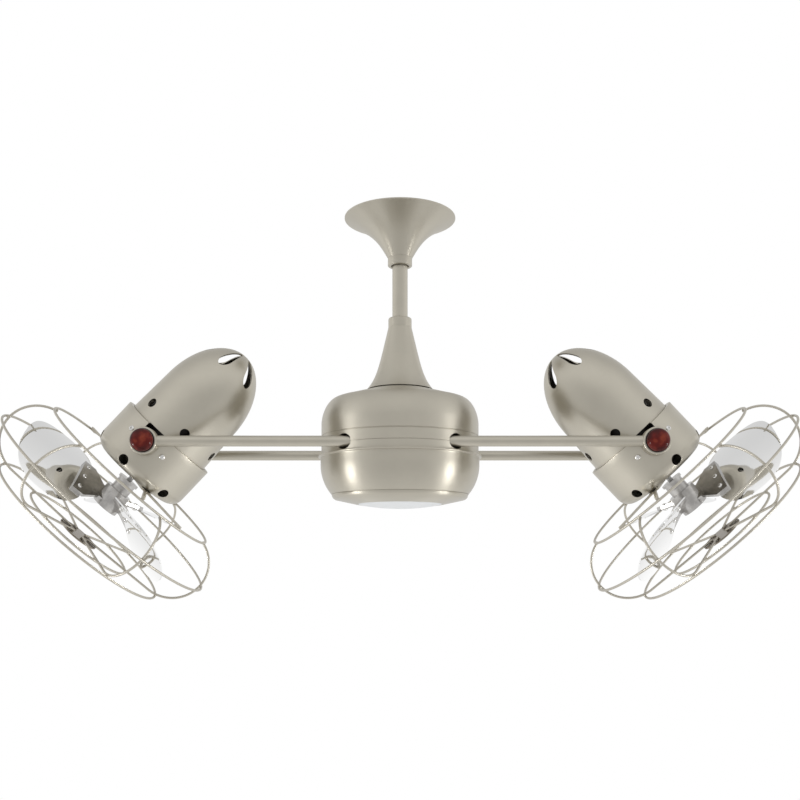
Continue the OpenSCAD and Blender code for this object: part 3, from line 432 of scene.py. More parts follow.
@dataclass(frozen=True)
class FrostedGlass(Finish):
    """Etched lens glass with a soft sheen."""

    def surface(self, graph: Graph, where: Wire) -> dict[str, object]:
        """See Finish.surface."""
        etch = graph.noise(where, 2400.0, 2.0, 0.7)
        cloud = graph.noise(where, 30.0, 2.0)
        return {
            "Base Color": graph.mix(cloud, self.shade(0.97), self.colour),
            "Roughness": etch * 0.12 + self.rough,
            "Normal": graph.bump(etch, 0.05, 0.0002),
            "Coat Weight": 0.25,
        }


NICKEL = (0.505, 0.475, 0.405)
WIRE = (0.52, 0.49, 0.425)
NICKEL_HUB = SatinNickel("satin_nickel_hub", NICKEL, 0.42, grain=0.75)
NICKEL_ROD = DrawnWire("satin_nickel_tube", NICKEL, 0.42)
CAGE_WIRE = DrawnWire("nickel_wire", WIRE, 0.42)
CHROME = MirrorPlate("polished_chrome", (0.90, 0.90, 0.895), 0.045)
AGED = SatinNickel("aged_nickel", (0.26, 0.225, 0.18), 0.3)
CAST = CastMetal("cast_aluminium", (0.56, 0.545, 0.525), 0.22)
STEEL = CastMetal("machined_steel", (0.40, 0.395, 0.385), 0.36)
SCREW = Finish("bright_screw", (0.72, 0.71, 0.69), 0.22)
# Near black and matte, for the pivot studs; its colour is taken from the thin dark ring seen round
# each knob.
DARK = Finish("dark_bronze", (0.012, 0.008, 0.007), 0.45, 0.0)
MOTOR_BLACK = CastMetal("motor_black", (0.022, 0.016, 0.014), 0.55, 0.0)
LENS = FrostedGlass("frosted_lens", (0.80, 0.82, 0.83), 0.32, 0.0)
OPAL = FrostedGlass("opal_bulb", (0.92, 0.91, 0.87), 0.3, 0.0)
ZINC = CastMetal("zinc_plate", (0.52, 0.52, 0.50), 0.4)


# Mesh tools


def link(name: str, mesh: bpy.types.Mesh, crease: float = 32.0) -> Piece:
    """Adds a mesh to the scene, smooth up to the crease angle in degrees."""
    mesh.name = name
    piece = bpy.data.objects.new(name, mesh)
    bpy.context.scene.collection.objects.link(piece)
    mesh.polygons.foreach_set("use_smooth", [True] * len(mesh.polygons))
    mesh.set_sharp_from_angle(angle=math.radians(crease))
    return piece


def settle(bm: Shape, name: str, crease: float = 32.0) -> Piece:
    """Closes seams, turns the faces outwards and makes the object.

    Args:
        bm: The finished shape, in millimetres.
        name: The piece's name.
        crease: The angle in degrees past which an edge stays sharp.

    Returns:
        The new object, in metres.
    """
    bmesh.ops.remove_doubles(bm, verts=bm.verts, dist=1e-4)
    bmesh.ops.dissolve_degenerate(bm, edges=bm.edges, dist=1e-5)
    bmesh.ops.recalc_face_normals(bm, faces=bm.faces)
    bmesh.ops.scale(bm, vec=(MM, MM, MM), verts=bm.verts)
    mesh = bpy.data.meshes.new(name)
    bm.to_mesh(mesh)
    bm.free()
    return link(name, mesh, crease)


def eased(corners: Sequence[tuple[float, float, float]], steps: int = 5) -> list[Point]:
    """Rounds an outline's corners.

    Args:
        corners: (radius, height, rounding) for each corner.
        steps: Points to each rounded corner.

    Returns:
        The outline's points.
    """
    out: list[Point] = []
    count = len(corners)
    for i, (r, z, easing) in enumerate(corners):
        here = Vector((r, z))
        if easing <= 0:
            out.append((r, z))
            continue
        before = Vector(corners[i - 1][:2]) - here
        after = Vector(corners[(i + 1) % count][:2]) - here
        cut = min(easing, before.length * 0.49, after.length * 0.49)
        start, end = here + before.normalized() * cut, here + after.normalized() * cut
        for k in range(steps + 1):
            t = k / steps
            p = start * (1 - t) ** 2 + here * 2 * t * (1 - t) + end * t * t
            out.append((p.x, p.y))
    return out


def sweep(end: float, count: int) -> list[float]:
    """Even steps from 0 to an end, with both included."""
    return [end * i / count for i in range(count + 1)]


def turned(
    bm: Shape, outline: Sequence[Point], steps: int = 144, closed: bool = True
) -> list[Vertex]:
    """Turns an outline of (radius, height) points round Z.

    Args:
        bm: The shape that it is added to.
        outline: The outline's points.
        steps: Segments round the axis.
        closed: Whether the last point joins the first.

    Returns:
        The new vertices.
    """
    before = set(bm.verts)
    verts = [bm.verts.new((r, 0, z)) for r, z in outline]
    pairs = list(zip(verts, verts[1:])) + ([(verts[-1], verts[0])] if closed else [])
    edges = [bm.edges.new(pair) for pair in pairs]
    bmesh.ops.spin(
        bm,
        geom=verts + edges,
        cent=(0, 0, 0),
        axis=(0, 0, 1),
        angle=math.tau,
        steps=steps,
        use_merge=True,
    )
    return [v for v in bm.verts if v not in before]


def bar(
    bm: Shape,
    radius: float,
    start: Sequence[float],
    end: Sequence[float],
    segments: int = 32,
) -> list[Vertex]:
    """Adds a closed cylinder between two points and returns its vertices."""
    a, b = Vector(start), Vector(end)
    turn = (b - a).to_track_quat("Z", "Y").to_matrix().to_4x4()
    made = bmesh.ops.create_cone(
        bm,
        cap_ends=True,
        segments=segments,
        radius1=radius,
        radius2=radius,
        depth=(b - a).length,
        matrix=Matrix.Translation((a + b) / 2) @ turn,
    )
    return made["verts"]


def block(bm: Shape, low: Sequence[float], high: Sequence[float]) -> list[Vertex]:
    """Adds a box between two corners and returns its vertices."""
    lo, hi = Vector(low), Vector(high)
    place = Matrix.Translation((lo + hi) / 2) @ Matrix.Diagonal((*(hi - lo), 1.0))
    return bmesh.ops.create_cube(bm, size=1.0, matrix=place)["verts"]


def prism(
    bm: Shape, ring: Sequence[Sequence[float]], along: Sequence[float]
) -> list[Vertex]:
    """Draws a face and pushes it along.

    Args:
        bm: The shape that it is added to.
        ring: The face's corners.
        along: How far it is pushed, and which way.

    Returns:
        The prism's vertices.
    """
    face = bm.faces.new([bm.verts.new(corner) for corner in ring])
    grown = bmesh.ops.extrude_face_region(bm, geom=[face])["geom"]
    moved = [item for item in grown if isinstance(item, Vertex)]
    bmesh.ops.translate(bm, vec=along, verts=moved)
    return moved + list(face.verts)


def rotated(
    bm: Shape, verts: Sequence[Vertex], degrees: float, axis: str = "Z"
) -> None:
    """Turns vertices round an axis through the origin."""
    turn = Matrix.Rotation(math.radians(degrees), 3, axis)
    bmesh.ops.rotate(bm, cent=(0, 0, 0), matrix=turn, verts=list(verts))


def carve(piece: Piece, cutter: Shape) -> Piece:
    """Cuts a shape out of a piece.

    Args:
        piece: The piece, in metres.
        cutter: Closed shapes that don't cross each other, in millimetres.

    Returns:
        The cut piece.
    """
    tool = settle(cutter, piece.name + "_cutter")
    change = piece.modifiers.new("cut", "BOOLEAN")
    change.operation, change.solver, change.object = "DIFFERENCE", "EXACT", tool
    graph = bpy.context.evaluated_depsgraph_get()
    mesh = bpy.data.meshes.new_from_object(piece.evaluated_get(graph))
    name = piece.name
    old = (piece.data, tool.data)
    bpy.data.objects.remove(piece)
    bpy.data.objects.remove(tool)
    for data in old:
        bpy.data.meshes.remove(data)
    return link(name, mesh)


def seat(piece: Piece, matrix: Matrix) -> Piece:
    """Bakes a place into a piece's mesh, with its faces still outwards."""
    piece.data.transform(matrix)
    if matrix.determinant() < 0:
        piece.data.flip_normals()
    return piece


def hand_in(
    piece: Piece, body: str, finish: Finish, nodes: Sequence[str] = ()
) -> None:
    """Gives a piece its finish, its body and the solids that it stands for.

    Args:
        piece: The finished piece.
        body: The body that it moves with.
        finish: Its surface.
        nodes: The solids that it replaces.
    """
    piece.data.materials.clear()
    piece.data.materials.append(finish.material())
    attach(piece, body)
    if nodes:
        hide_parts(*nodes)
    LOG.info("%s: %d faces on %s", piece.name, len(piece.data.polygons), body)


def dress(nodes: dict[str, Piece], finishes: dict[str, Finish]) -> None:
    """Gives solids that stay in view their finishes."""
    for name, finish in finishes.items():
        slots = nodes[name].material_slots
        if not slots:
            nodes[name].data.materials.append(finish.material())
        for place in slots:
            place.material = finish.material()


def trumpet(
    low_r: float, rate: float, height: float, rim_r: float, power: float, steps: int = 64
) -> list[Point]:
    """Points of a horn's side.

    Args:
        low_r: The neck's radius.
        rate: How fast the side widens from the neck on.
        height: From the neck to the rim.
        rim_r: The rim's radius.
        power: How late the side flares.
        steps: Segments along the side.

    Returns:
        (radius, distance) from the neck to the rim.
    """
    extra = rim_r - low_r - rate * height
    return [(low_r + rate * height * u + extra * u**power, height * u) for u in sweep(1.0, steps)]


# The fixed stem


@dataclass
class Stem:
    """Canopy, rod collars and the horn shaped rod cover."""

    body: str = "ceiling_mount"
    canopy_h: float = 50.0
    canopy_r: float = 68.8
    neck_r: float = 15.1
    collar_h: float = 10.2
    rod_r: float = 9.545
    cover_top: float = -136.5
    cover_r: float = 41.8
    cover_gap: float = 0.9
    cover_wall: float = 1.6
    wall: float = 2.0
    canopy_rate: float = 0.58
    canopy_power: float = 3.3
    cover_rate: float = 0.24
    cover_power: float = 6.0
    mouth_gap: float = 1.7
    mouth_h: float = 4.0
    low_collar_r: float = 14.5
    low_collar_h: float = 11.8
    screw_drop: float = 4.1

    def canopy(self) -> Piece:
        """The trumpet that closes against the ceiling."""
        bm = bmesh.new()
        height = self.canopy_h - 1.5
        side = trumpet(self.neck_r, self.canopy_rate, height, self.canopy_r, self.canopy_power)
        outside = [(r, z - self.canopy_h) for r, z in side]
        inside = [(r - self.wall, z) for r, z in reversed(outside)]
        rim = eased(
            [
                (outside[-1][0], outside[-1][1], 0),
                (self.canopy_r, 0, 0.7),
                (self.canopy_r - self.wall, 0, 0.6),
                (inside[0][0], inside[0][1], 0),
            ]
        )
        turned(bm, outside[:-1] + rim + inside[1:])
        return settle(bm, "canopy_shell")

    def collars(self) -> Piece:
        """The set collar under the canopy and the plain one on the rod cover."""
        bm = bmesh.new()
        top, low = -self.canopy_h, -self.canopy_h - self.collar_h
        mouth = self.rod_r + self.mouth_gap
        turned(
            bm,
            eased(
                [
                    (self.rod_r, top, 0),
                    (self.neck_r, top, 0.25),
                    (self.neck_r, low, 1.6),
                    (mouth, low, 0.5),
                    (mouth, low + self.mouth_h, 0.4),
                    (self.rod_r, low + self.mouth_h, 0.3),
                ]
            ),
            RING_STEPS,
        )
        turned(
            bm,
            eased(
                [
                    (self.rod_r, self.cover_top, 0),
                    (self.rod_r, self.cover_top + self.low_collar_h, 0.5),
                    (self.low_collar_r, self.cover_top + self.low_collar_h, 2.2),
                    (self.low_collar_r, self.cover_top, 0.3),
                ]
            ),
            RING_STEPS,
        )
        piece = settle(bm, "rod_collar_pair")
        cutter = bmesh.new()
        bar(cutter, 1.6, (12, 0, top - self.screw_drop), (20, 0, top - self.screw_drop), 24)
        return carve(piece, cutter)

    def set_screw(self) -> Piece:
        """The headless screw in the upper collar."""
        bm = bmesh.new()
        z = -self.canopy_h - self.screw_drop
        bar(bm, 1.5, (self.rod_r + 0.2, 0, z), (self.neck_r - 0.8, 0, z), 24)
        piece = settle(bm, "collar_set_screw")
        cutter = bmesh.new()
        bar(cutter, 0.75, (self.neck_r - 2.2, 0, z), (self.neck_r + 1, 0, z), 6)
        return carve(piece, cutter)

    def cover(self) -> Piece:
        """The slim horn over the coupling, whose rim hangs just over the housing."""
        bm = bmesh.new()
        rim_z = (
            LAYOUT.arm_z
            + LAYOUT.dome_h
            - (self.cover_r - self.cover_wall - LAYOUT.dome_hole_r) * LAYOUT.dome_slope
            + self.cover_gap
        )
        height = self.cover_top - rim_z
        side = trumpet(
            self.low_collar_r, self.cover_rate, height, self.cover_r, self.cover_power, 72
        )
        outside = [(r, self.cover_top - d) for r, d in side]
        inside = [(r - self.cover_wall, z) for r, z in reversed(outside)]
        bore = [(self.rod_r, self.cover_top - 2.5), (self.rod_r, self.cover_top)]
        turned(bm, outside + inside[:-2] + bore)
        return settle(bm, "rod_cover_horn")

    def build(self, nodes: dict[str, Piece]) -> None:
        """Makes the stem's pieces and dresses its solids."""
        hand_in(self.canopy(), self.body, NICKEL_HUB, ["canopy"])
        hand_in(self.collars(), self.body, NICKEL_HUB, ["rod_collars"])
        hand_in(self.set_screw(), self.body, STEEL)
        hand_in(self.cover(), self.body, NICKEL_HUB, ["rod_cover"])
        dress(
            nodes,
            {
                "downrod": NICKEL_ROD,
                "hanger_bracket": ZINC,
                "hanger_ball": MOTOR_BLACK,
                "rod_pins": STEEL,
                "spindle": STEEL,
            },
        )


# The hub


@dataclass
class Housing:
    """Upper shell, lower shell, bowl, bezel and lens."""

    body: str = "turret"
    radius: float = 97.5
    shoulder_r: float = 80.0
    shoulder_h: float = 31.0
    shoulder_power: float = 1.75
    wall: float = 1.6
    hole_r: float = 7.25
    hole_rise: float = 1.95
    groove_z: float = 13.5
    bowl_r: float = 98.6
    bowl_h: float = 47.5
    bowl_curve: float = 56.0
    bowl_straight: float = 11.0
    lip_r: float = 101.3
    bezel_h: float = 11.9
    lens_r: float = 52.3
    lens_bulge: float = 5.0
    seam: float = 0.1
    seam_in: float = 0.35
    groove_deep: float = 0.7
    shelf: float = 11.5
    shelf_h: float = 1.5
    bowl_hole_r: float = 86.0
    seat_gap: float = 0.02
    lens_seat_r: float = 56.0

    def dome_side(self, inset: float) -> list[Point]:
        """The upper shell's side from its top hole to its upright wall."""
        top_r, wall_r = self.shoulder_r - inset, self.radius - inset
        top_z = LAYOUT.arm_z + LAYOUT.dome_h - inset
        edge_z = top_z - (self.shoulder_r - LAYOUT.dome_hole_r) * LAYOUT.dome_slope
        power = 2 / self.shoulder_power
        slope = [
            (LAYOUT.dome_hole_r + (top_r - LAYOUT.dome_hole_r) * t, top_z + (edge_z - top_z) * t)
            for t in (0.0, 0.25, 0.5, 0.75, 0.9)
        ]
        round_off = [
            (
                top_r + (wall_r - top_r) * math.sin(a) ** power,
                edge_z - self.shoulder_h + self.shoulder_h * max(math.cos(a), 0.0) ** power,
            )
            for a in sweep(QUARTER, 40)
        ]
        return slope + round_off

    def arm_cutter(self) -> Shape:
        """The holes that the arm tubes pass through."""
        cutter = bmesh.new()
        half = 24
        turns = [math.pi * (i + 0.5) / half for i in range(2 * half)]
        oval = [
            (
                self.hole_r * math.cos(a),
                self.hole_r * math.sin(a) + math.copysign(self.hole_rise, math.sin(a)),
            )
            for a in turns
        ]
        for sx in (-1, 1):
            for sy in (-1, 1):
                ring = [
                    (sx * 40, sy * LAYOUT.arm_y + y, LAYOUT.arm_z + z)
                    for y, z in (oval if sx > 0 else reversed(oval))
                ]
                prism(cutter, ring, (sx * 70, 0, 0))
        bmesh.ops.recalc_face_normals(cutter, faces=cutter.faces)
        return cutter

    def dome(self) -> Piece:
        """The upper shell with its fine groove and half of each arm hole."""
        bm = bmesh.new()
        outside, inside = self.dome_side(0), self.dome_side(self.wall)
        low = LAYOUT.arm_z + self.seam
        groove = LAYOUT.arm_z + self.groove_z
        bed = self.radius - self.groove_deep
        wall = [(self.radius, z) for z in (groove + 10, groove + 5, groove + 1.2, groove + 0.75)]
        cut = [(bed, groove + 0.25), (bed, groove - 0.25)]
        heights = (groove - 0.75, groove - 1.2, groove - 5, low + 5, low + 0.5)
        foot = [(self.radius, z) for z in heights]
        edge = [(self.radius - self.seam_in, low), (self.radius - self.wall, low)]
        turned(bm, outside + wall + cut + foot + edge + list(reversed(inside)), HUB_STEPS)
        return carve(settle(bm, "hub_upper_shell"), self.arm_cutter())

    def lower_shell(self) -> Piece:
        """The narrow ring under the seam, with the other half of each arm hole."""
        bm = bmesh.new()
        top, low = LAYOUT.arm_z - self.seam, LAYOUT.lower_z
        shelf_r = self.radius - self.shelf
        turned(
            bm,
            [
                (self.radius - self.wall, top),
                (self.radius - self.seam_in, top),
                (self.radius, top - 0.5),
                (self.radius, (top + low) / 2),
                (self.radius, low),
                (shelf_r, low),
                (shelf_r, low + self.shelf_h),
                (self.radius - self.wall, low + self.shelf_h),
            ],
            HUB_STEPS,
        )
        return carve(settle(bm, "hub_lower_ring"), self.arm_cutter())

    def bowl_side(self, inset: float) -> list[Point]:
        """The bowl's curve from its upright part to its foot."""
        end = math.asin((self.bowl_h - self.bowl_straight) / self.bowl_curve)
        centre_r = self.bowl_r - self.bowl_curve
        run = self.bowl_curve - inset
        return [
            (centre_r + run * math.cos(a), LAYOUT.lower_z - self.bowl_straight - run * math.sin(a))
            for a in sweep(end, 40)
        ]

    def bowl(self) -> Piece:
        """The deep bowl with its projecting lip."""
        bm = bmesh.new()
        top = LAYOUT.lower_z - self.seat_gap
        outside = self.bowl_side(0)
        low_r, low_z = outside[-1]
        lip = eased(
            [
                (self.bowl_hole_r, top, 0),
                (self.lip_r, top, 0.8),
                (self.lip_r, top - 1.9, 0.9),
                (self.bowl_r + 0.2, top - 2.3, 0.8),
                (self.bowl_r, top - 5, 0),
            ]
        )
        foot = [(low_r - 0.5, low_z), (low_r - 6, low_z), (low_r - 6, low_z + self.wall)]
        inside = [p for p in reversed(self.bowl_side(self.wall)) if p[1] > low_z + self.wall]
        inner_r = self.bowl_r - self.wall
        top_in = [(inner_r, top - 3), (inner_r - 1, top - 1.6), (self.bowl_hole_r, top - 1.6)]
        turned(bm, lip + outside + foot + inside + top_in, HUB_STEPS)
        return settle(bm, "lamp_bowl")

    def bezel(self) -> Piece:
        """The stepped ring that holds the lens."""
        bm = bmesh.new()
        low_r, bowl_low = self.bowl_side(0)[-1]
        top = bowl_low - self.seat_gap
        low = bowl_low - self.bezel_h
        rim = low_r - 0.4
        corner = (rim - 6, top - 0.4)
        round_off = [
            (corner[0] + 6 * math.cos(a), corner[1] - 6 * math.sin(a))
            for a in sweep(math.radians(66), 12)
        ]
        hole = self.lens_r + 0.2
        inner = [
            (hole + 1.2, low),
            (hole + 0.3, low + 0.2),
            (hole, low + 0.8),
            (hole, low + 2),
            (hole + 4.5, low + 2),
            (rim - 9, top - 5),
            (rim - 5, top - 2.5),
            (rim - 5, top),
        ]
        turned(bm, [(rim - 0.3, top)] + round_off + inner, HUB_STEPS)
        return settle(bm, "lamp_bezel")

    def lens(self) -> Piece:
        """The frosted lens, domed a little below its bezel."""
        bm = bmesh.new()
        low = self.bowl_side(0)[-1][1] - self.bezel_h
        curve = (self.lens_r**2 + self.lens_bulge**2) / (2 * self.lens_bulge)
        centre = low + curve - self.lens_bulge
        edge = self.lens_r - 0.6
        under = [(r, centre - math.sqrt(curve**2 - r * r)) for r in sweep(edge, 24)]
        upper = [(r, z + 3) for r, z in reversed(under)]
        rim = [(self.lens_r, low + 0.6), (self.lens_r, low + 2.05)]
        rim += [(self.lens_seat_r, low + 2.05), (self.lens_seat_r, low + 3.5)]
        turned(bm, under + rim + upper, 160, closed=False)
        return settle(bm, "lamp_lens")

    def build(self, nodes: dict[str, Piece]) -> None:
        """Makes the hub's shells and dresses what they hold."""
        for piece, node in (
            (self.dome(), "hub_dome"),
            (self.lower_shell(), "hub_lower_shell"),
            (self.bowl(), "bowl"),
            (self.bezel(), "bezel"),
        ):
            hand_in(piece, self.body, NICKEL_HUB, [node])
        hand_in(self.lens(), self.body, LENS, ["lens"])
        dress(
            nodes,
            {
                "hub_bearings": STEEL,
                "hub_frame": CAST,
                "front_arm": NICKEL_ROD,
                "back_arm": NICKEL_ROD,
                "lamp_holder": ZINC,
                "lamp": OPAL,
                "frame_screws": SCREW,
            },
        )


# The heads


@dataclass
class MotorHead:
    """Bullet shaped rear shell, front band, motor and the pivot with its wooden knobs."""

    side: Side
    shell_r: float = 56.5
    taper: float = 2.5
    straight: float = 75.0
    nose: float = 82.3
    mouth: float = -11.0
    mouth_r: float = 54.7
    flange_r: float = 61.0
    flange_h: float = 3.0
    wall: float = 1.8
    band_r: float = 63.0
    band_front: float = 44.0
    band_rear: float = -19.0
    band_round: float = 16.0
    notch_r: float = 13.5
    knob_r: float = 13.4
    knob_h: float = 10.5
    knob_in: float = 79.8
    knuckle_in: float = 64.2
    knuckle_out: float = 78.2
    knuckle_r: float = 16.5
    stud_r: float = 4.06
    slot_turn: float = 40.0
    vent_r: float = 6.0
    vent_s: float = -38.0
    vent_turn: float = 5.0
    band_vent_r: float = 6.5
    band_vent_turn: float = 35.0
    screw_turns: tuple[float, ...] = (66.6, 113.4, 246.6, 293.4)
    screw_seat_r: float = 63.03
    screw_head_r: float = 3.4
    screw_rise: float = 1.6
    cross_r: float = 63.6
    cross_long: float = 1.9
    cross_wide: float = 0.35

    @property
    def body(self) -> str:
        """The body that the head's pieces move with."""
        return self.side.value + "_head"

    def finish(self) -> SatinNickel:
        """Nickel brushed round this head's axis."""
        centre = (self.side.sign * LAYOUT.pivot_x * MM, 0.0, LAYOUT.arm_z * MM)
        name = f"satin_nickel_{self.side.value}_head"
        return SatinNickel(name, NICKEL, 0.36, centre=centre, turn=LAYOUT.axis_euler(self.side))

    def rear_shell(self) -> Piece:
        """The bullet, with teardrop slots round its nose and a row of round vents."""
        bm = bmesh.new()
        outside, inside = self.nose_side(0), self.nose_side(self.wall)
        back_s = self.mouth - self.flange_h
        flange = [(self.mouth_r, self.mouth), (self.flange_r, self.mouth)]
        flange += [(self.flange_r, back_s), (self.shell_r, back_s)]
        run = self.between(flange[3], outside[0])
        back = self.between(inside[0], flange[0])
        turned(bm, flange + run + outside, HEAD_STEPS, closed=False)
        turned(bm, [flange[0]] + list(reversed(back)) + inside, HEAD_STEPS, closed=False)
        piece = settle(bm, self.side.value + "_bullet_shell")
        return carve(piece, self.shell_cutter())

    def nose_side(self, inset: float, steps: int = 56) -> list[Point]:
        """The nose's rounded side, from where it meets the tapered part to its pole."""
        nose_r = self.shell_r - self.taper
        start = math.atan(self.taper * self.nose / (self.straight * nose_r))
        turns = (start + (QUARTER - start) * i / steps for i in range(steps))
        across, along = nose_r - inset, self.nose - inset
        side = [(across * math.cos(a), -self.straight - along * math.sin(a)) for a in turns]
        return side + [(0.0, -self.straight - self.nose + inset)]

    @staticmethod
    def between(start: Point, end: Point, count: int = 6) -> list[Point]:
        """Points on the straight line between two others, without them."""
        return [
            tuple(a + (b - a) * i / (count + 1) for a, b in zip(start, end))
            for i in range(1, count + 1)
        ]

    def shell_cutter(self) -> Shape:
        """The slots, vents and pivot windows of the rear shell."""
        cutter = bmesh.new()
        nose_r = self.shell_r - self.taper
        ring_r, tip_r, wide, narrow = nose_r * 0.64, nose_r * 0.18, 7.0, 1.4
        lean = math.acos((wide - narrow) / (ring_r - tip_r))
        for k in range(6):
            points = []
            for i in range(-14, 15):
                a = (math.pi - lean) * i / 14
                points.append((ring_r + wide * math.cos(a), wide * math.sin(a)))
            for i in range(-5, 6):
                a = math.pi + lean * i / 5
                points.append((tip_r + narrow * math.cos(a), narrow * math.sin(a)))
            slot = prism(cutter, [(x, y, -165) for x, y in points], (0, 0, 85))
            rotated(cutter, slot, self.slot_turn + 60 * k)
            vent = bar(cutter, self.vent_r, (42, 0, self.vent_s), (60, 0, self.vent_s), 40)
            rotated(cutter, vent, self.vent_turn + 60 * k)
        half = self.notch_r + 1
        for sy in (-1, 1):
            low, high = sorted((sy * 40, sy * 75))
            block(cutter, (-half, low, self.band_rear - 1), (half, high, self.mouth + 1))
        return cutter

    def band(self) -> Piece:
        """The front band: rounded edge, pivot notches, round vents and screw holes."""
        bm = bmesh.new()
        round_s = self.band_front - self.band_round
        core = self.band_r - self.band_round

        def corner(radius: float) -> list[Point]:
            """The rounded edge at this radius."""
            return [
                (core + radius * math.cos(a), round_s + radius * math.sin(a))
                for a in sweep(QUARTER, 20)
            ]

        inner = self.band_r - self.wall
        lip = [(57.0, self.band_rear + self.wall), (57.0, self.band_rear)]
        edge = [(self.band_r - 0.5, self.band_rear), (self.band_r - 0.1, self.band_rear + 0.2)]
        run = [(self.band_r, s) for s in (self.band_rear + 0.6, -10, 0, 10, 20)]
        face = [(r, self.band_front) for r in (40, 30, 20, 12.4)] + [(12.0, self.band_front - 0.4)]
        back = [(r, self.band_front - self.wall) for r in (12, 20, 30, 40)]
        turned(
            bm,
            lip
            + edge
            + run
            + corner(self.band_round)
            + face
            + back
            + list(reversed(corner(self.band_round - self.wall)))
            + [(inner, self.band_rear + self.wall)],
            HEAD_STEPS,
        )
        piece = settle(bm, self.side.value + "_band_shell")
        cutter = bmesh.new()
        lean = Vector((math.cos(math.radians(20)), 0, math.sin(math.radians(20))))
        middle = Vector((core, 0, round_s))
        for k in range(6):
            vent = bar(cutter, self.band_vent_r, middle + lean * 10, middle + lean * 20, 40)
            rotated(cutter, vent, self.band_vent_turn + 60 * k)
        for a in self.screw_turns:
            rotated(cutter, bar(cutter, 1.7, (58, 0, 0), (66, 0, 0), 20), a)
        for a in (90, 270):
            rotated(cutter, self.notch(cutter), a)
        return carve(piece, cutter)

    def notch(self, cutter: Shape) -> list[Vertex]:
        """A slot with a round front end, open to the band's rear edge."""
        r = self.notch_r
        points = [(-25.0, r)]
        points += [(r * math.sin(a), r * math.cos(a)) for a in sweep(math.pi, 32)]
        points += [(-25.0, -r)]
        return prism(cutter, [(54, y, s) for s, y in points], (14, 0, 0))

    def band_screws(self) -> Piece:
        """Domed cross-slot screws at the band's sides."""
        bm = bmesh.new()
        seat_r, rise = self.screw_seat_r, self.screw_rise
        head = [
            (self.screw_head_r * math.sin(t), seat_r + rise * math.cos(t))
            for t in sweep(QUARTER, 8)[1:]
        ]
        outline = [(0, seat_r + rise)] + head + [(1.5, seat_r), (1.5, 50), (0, 50)]
        for a in self.screw_turns:
            new = turned(bm, outline, 32, closed=False)
            rotated(bm, new, 90, "Y")
            rotated(bm, new, a)
        piece = settle(bm, self.side.value + "_cross_screws")
        for y, z in ((self.cross_long, self.cross_wide), (self.cross_wide, self.cross_long)):
            cutter = bmesh.new()
            for a in self.screw_turns:
                rotated(cutter, block(cutter, (self.cross_r, -y, -z), (67, y, z)), a)
            piece = carve(piece, cutter)
        return piece

    def knob(self, sign: int) -> Piece:
        """A turned wooden clamp knob.

        Args:
            sign: -1 for the near knob, 1 for the far one.

        Returns:
            The knob in the head pivot's frame, before the tilt.
        """
        bm = bmesh.new()
        dome = [
            (self.knob_r * math.cos(a), 3 + (self.knob_h - 3) * math.sin(a))
            for a in sweep(QUARTER, 24)
        ]
        dome[-1] = (0.0, self.knob_h)
        bore = [(0.0, 8.8), (self.stud_r, 8.8), (self.stud_r, 0.0)]
        edge = eased([(self.stud_r, 0, 0), (self.knob_r, 0, 0.8), (self.knob_r, 3, 0)])[1:-1]
        turned(bm, bore + edge + dome, RING_STEPS, False)
        out = Matrix.Translation((0, sign * self.knob_in, 0))
        spot = out @ Matrix.Rotation(-sign * QUARTER, 4, "X")
        bmesh.ops.transform(bm, matrix=spot, verts=bm.verts)
        return settle(bm, f"{self.side.value}_{'front' if sign < 0 else 'back'}_wood_knob")

    def knuckles(self) -> Piece:
        """The turned ends of the arms that hold the pivot studs."""
        bm = bmesh.new()
        outline = eased(
            [
                (self.stud_r, self.knuckle_in, 0.3),
                (self.knuckle_r, self.knuckle_in, 1.8),
                (self.knuckle_r, self.knuckle_out, 1.8),
                (self.stud_r, self.knuckle_out, 0.3),
            ]
        )
        for sign in (-1, 1):
            rotated(bm, turned(bm, outline, RING_STEPS), -sign * 90, "X")
        return settle(bm, self.side.value + "_arm_knuckles")

    def build(self, nodes: dict[str, Piece]) -> None:
        """Makes this head's pieces and dresses its solids."""
        place = LAYOUT.head_matrix(self.side)
        pivot = Matrix.Translation(Vector((self.side.sign * LAYOUT.pivot_x, 0, LAYOUT.arm_z)) * MM)
        nickel, name = self.finish(), self.side.value
        hand_in(seat(self.rear_shell(), place), self.body, nickel, [name + "_rear_shell"])
        hand_in(seat(self.band(), place), self.body, nickel, [name + "_front_band"])
        hand_in(seat(self.band_screws(), place), self.body, SCREW, [name + "_band_screws"])
        hand_in(seat(self.knuckles(), pivot), "turret", NICKEL_ROD, [name + "_knuckles"])
        across, up = self.side.sign * LAYOUT.pivot_x * MM, LAYOUT.arm_z * MM
        for sign, end in ((-1, "front"), (1, "back")):
            spot = (across, sign * self.knob_in * MM, up)
            wood = BurlWood(f"burl_wood_{name}_{end}", rough=0.22, metal=0.0, centre=spot)
            node = f"{name}_{end}_knob"
            hand_in(seat(self.knob(sign), pivot), node, wood, [node])
        dress(
            nodes,
            {
                name + "_motor": MOTOR_BLACK,
                name + "_motor_mount": MOTOR_BLACK,
                name + "_pivot_studs": DARK,
            },
        )


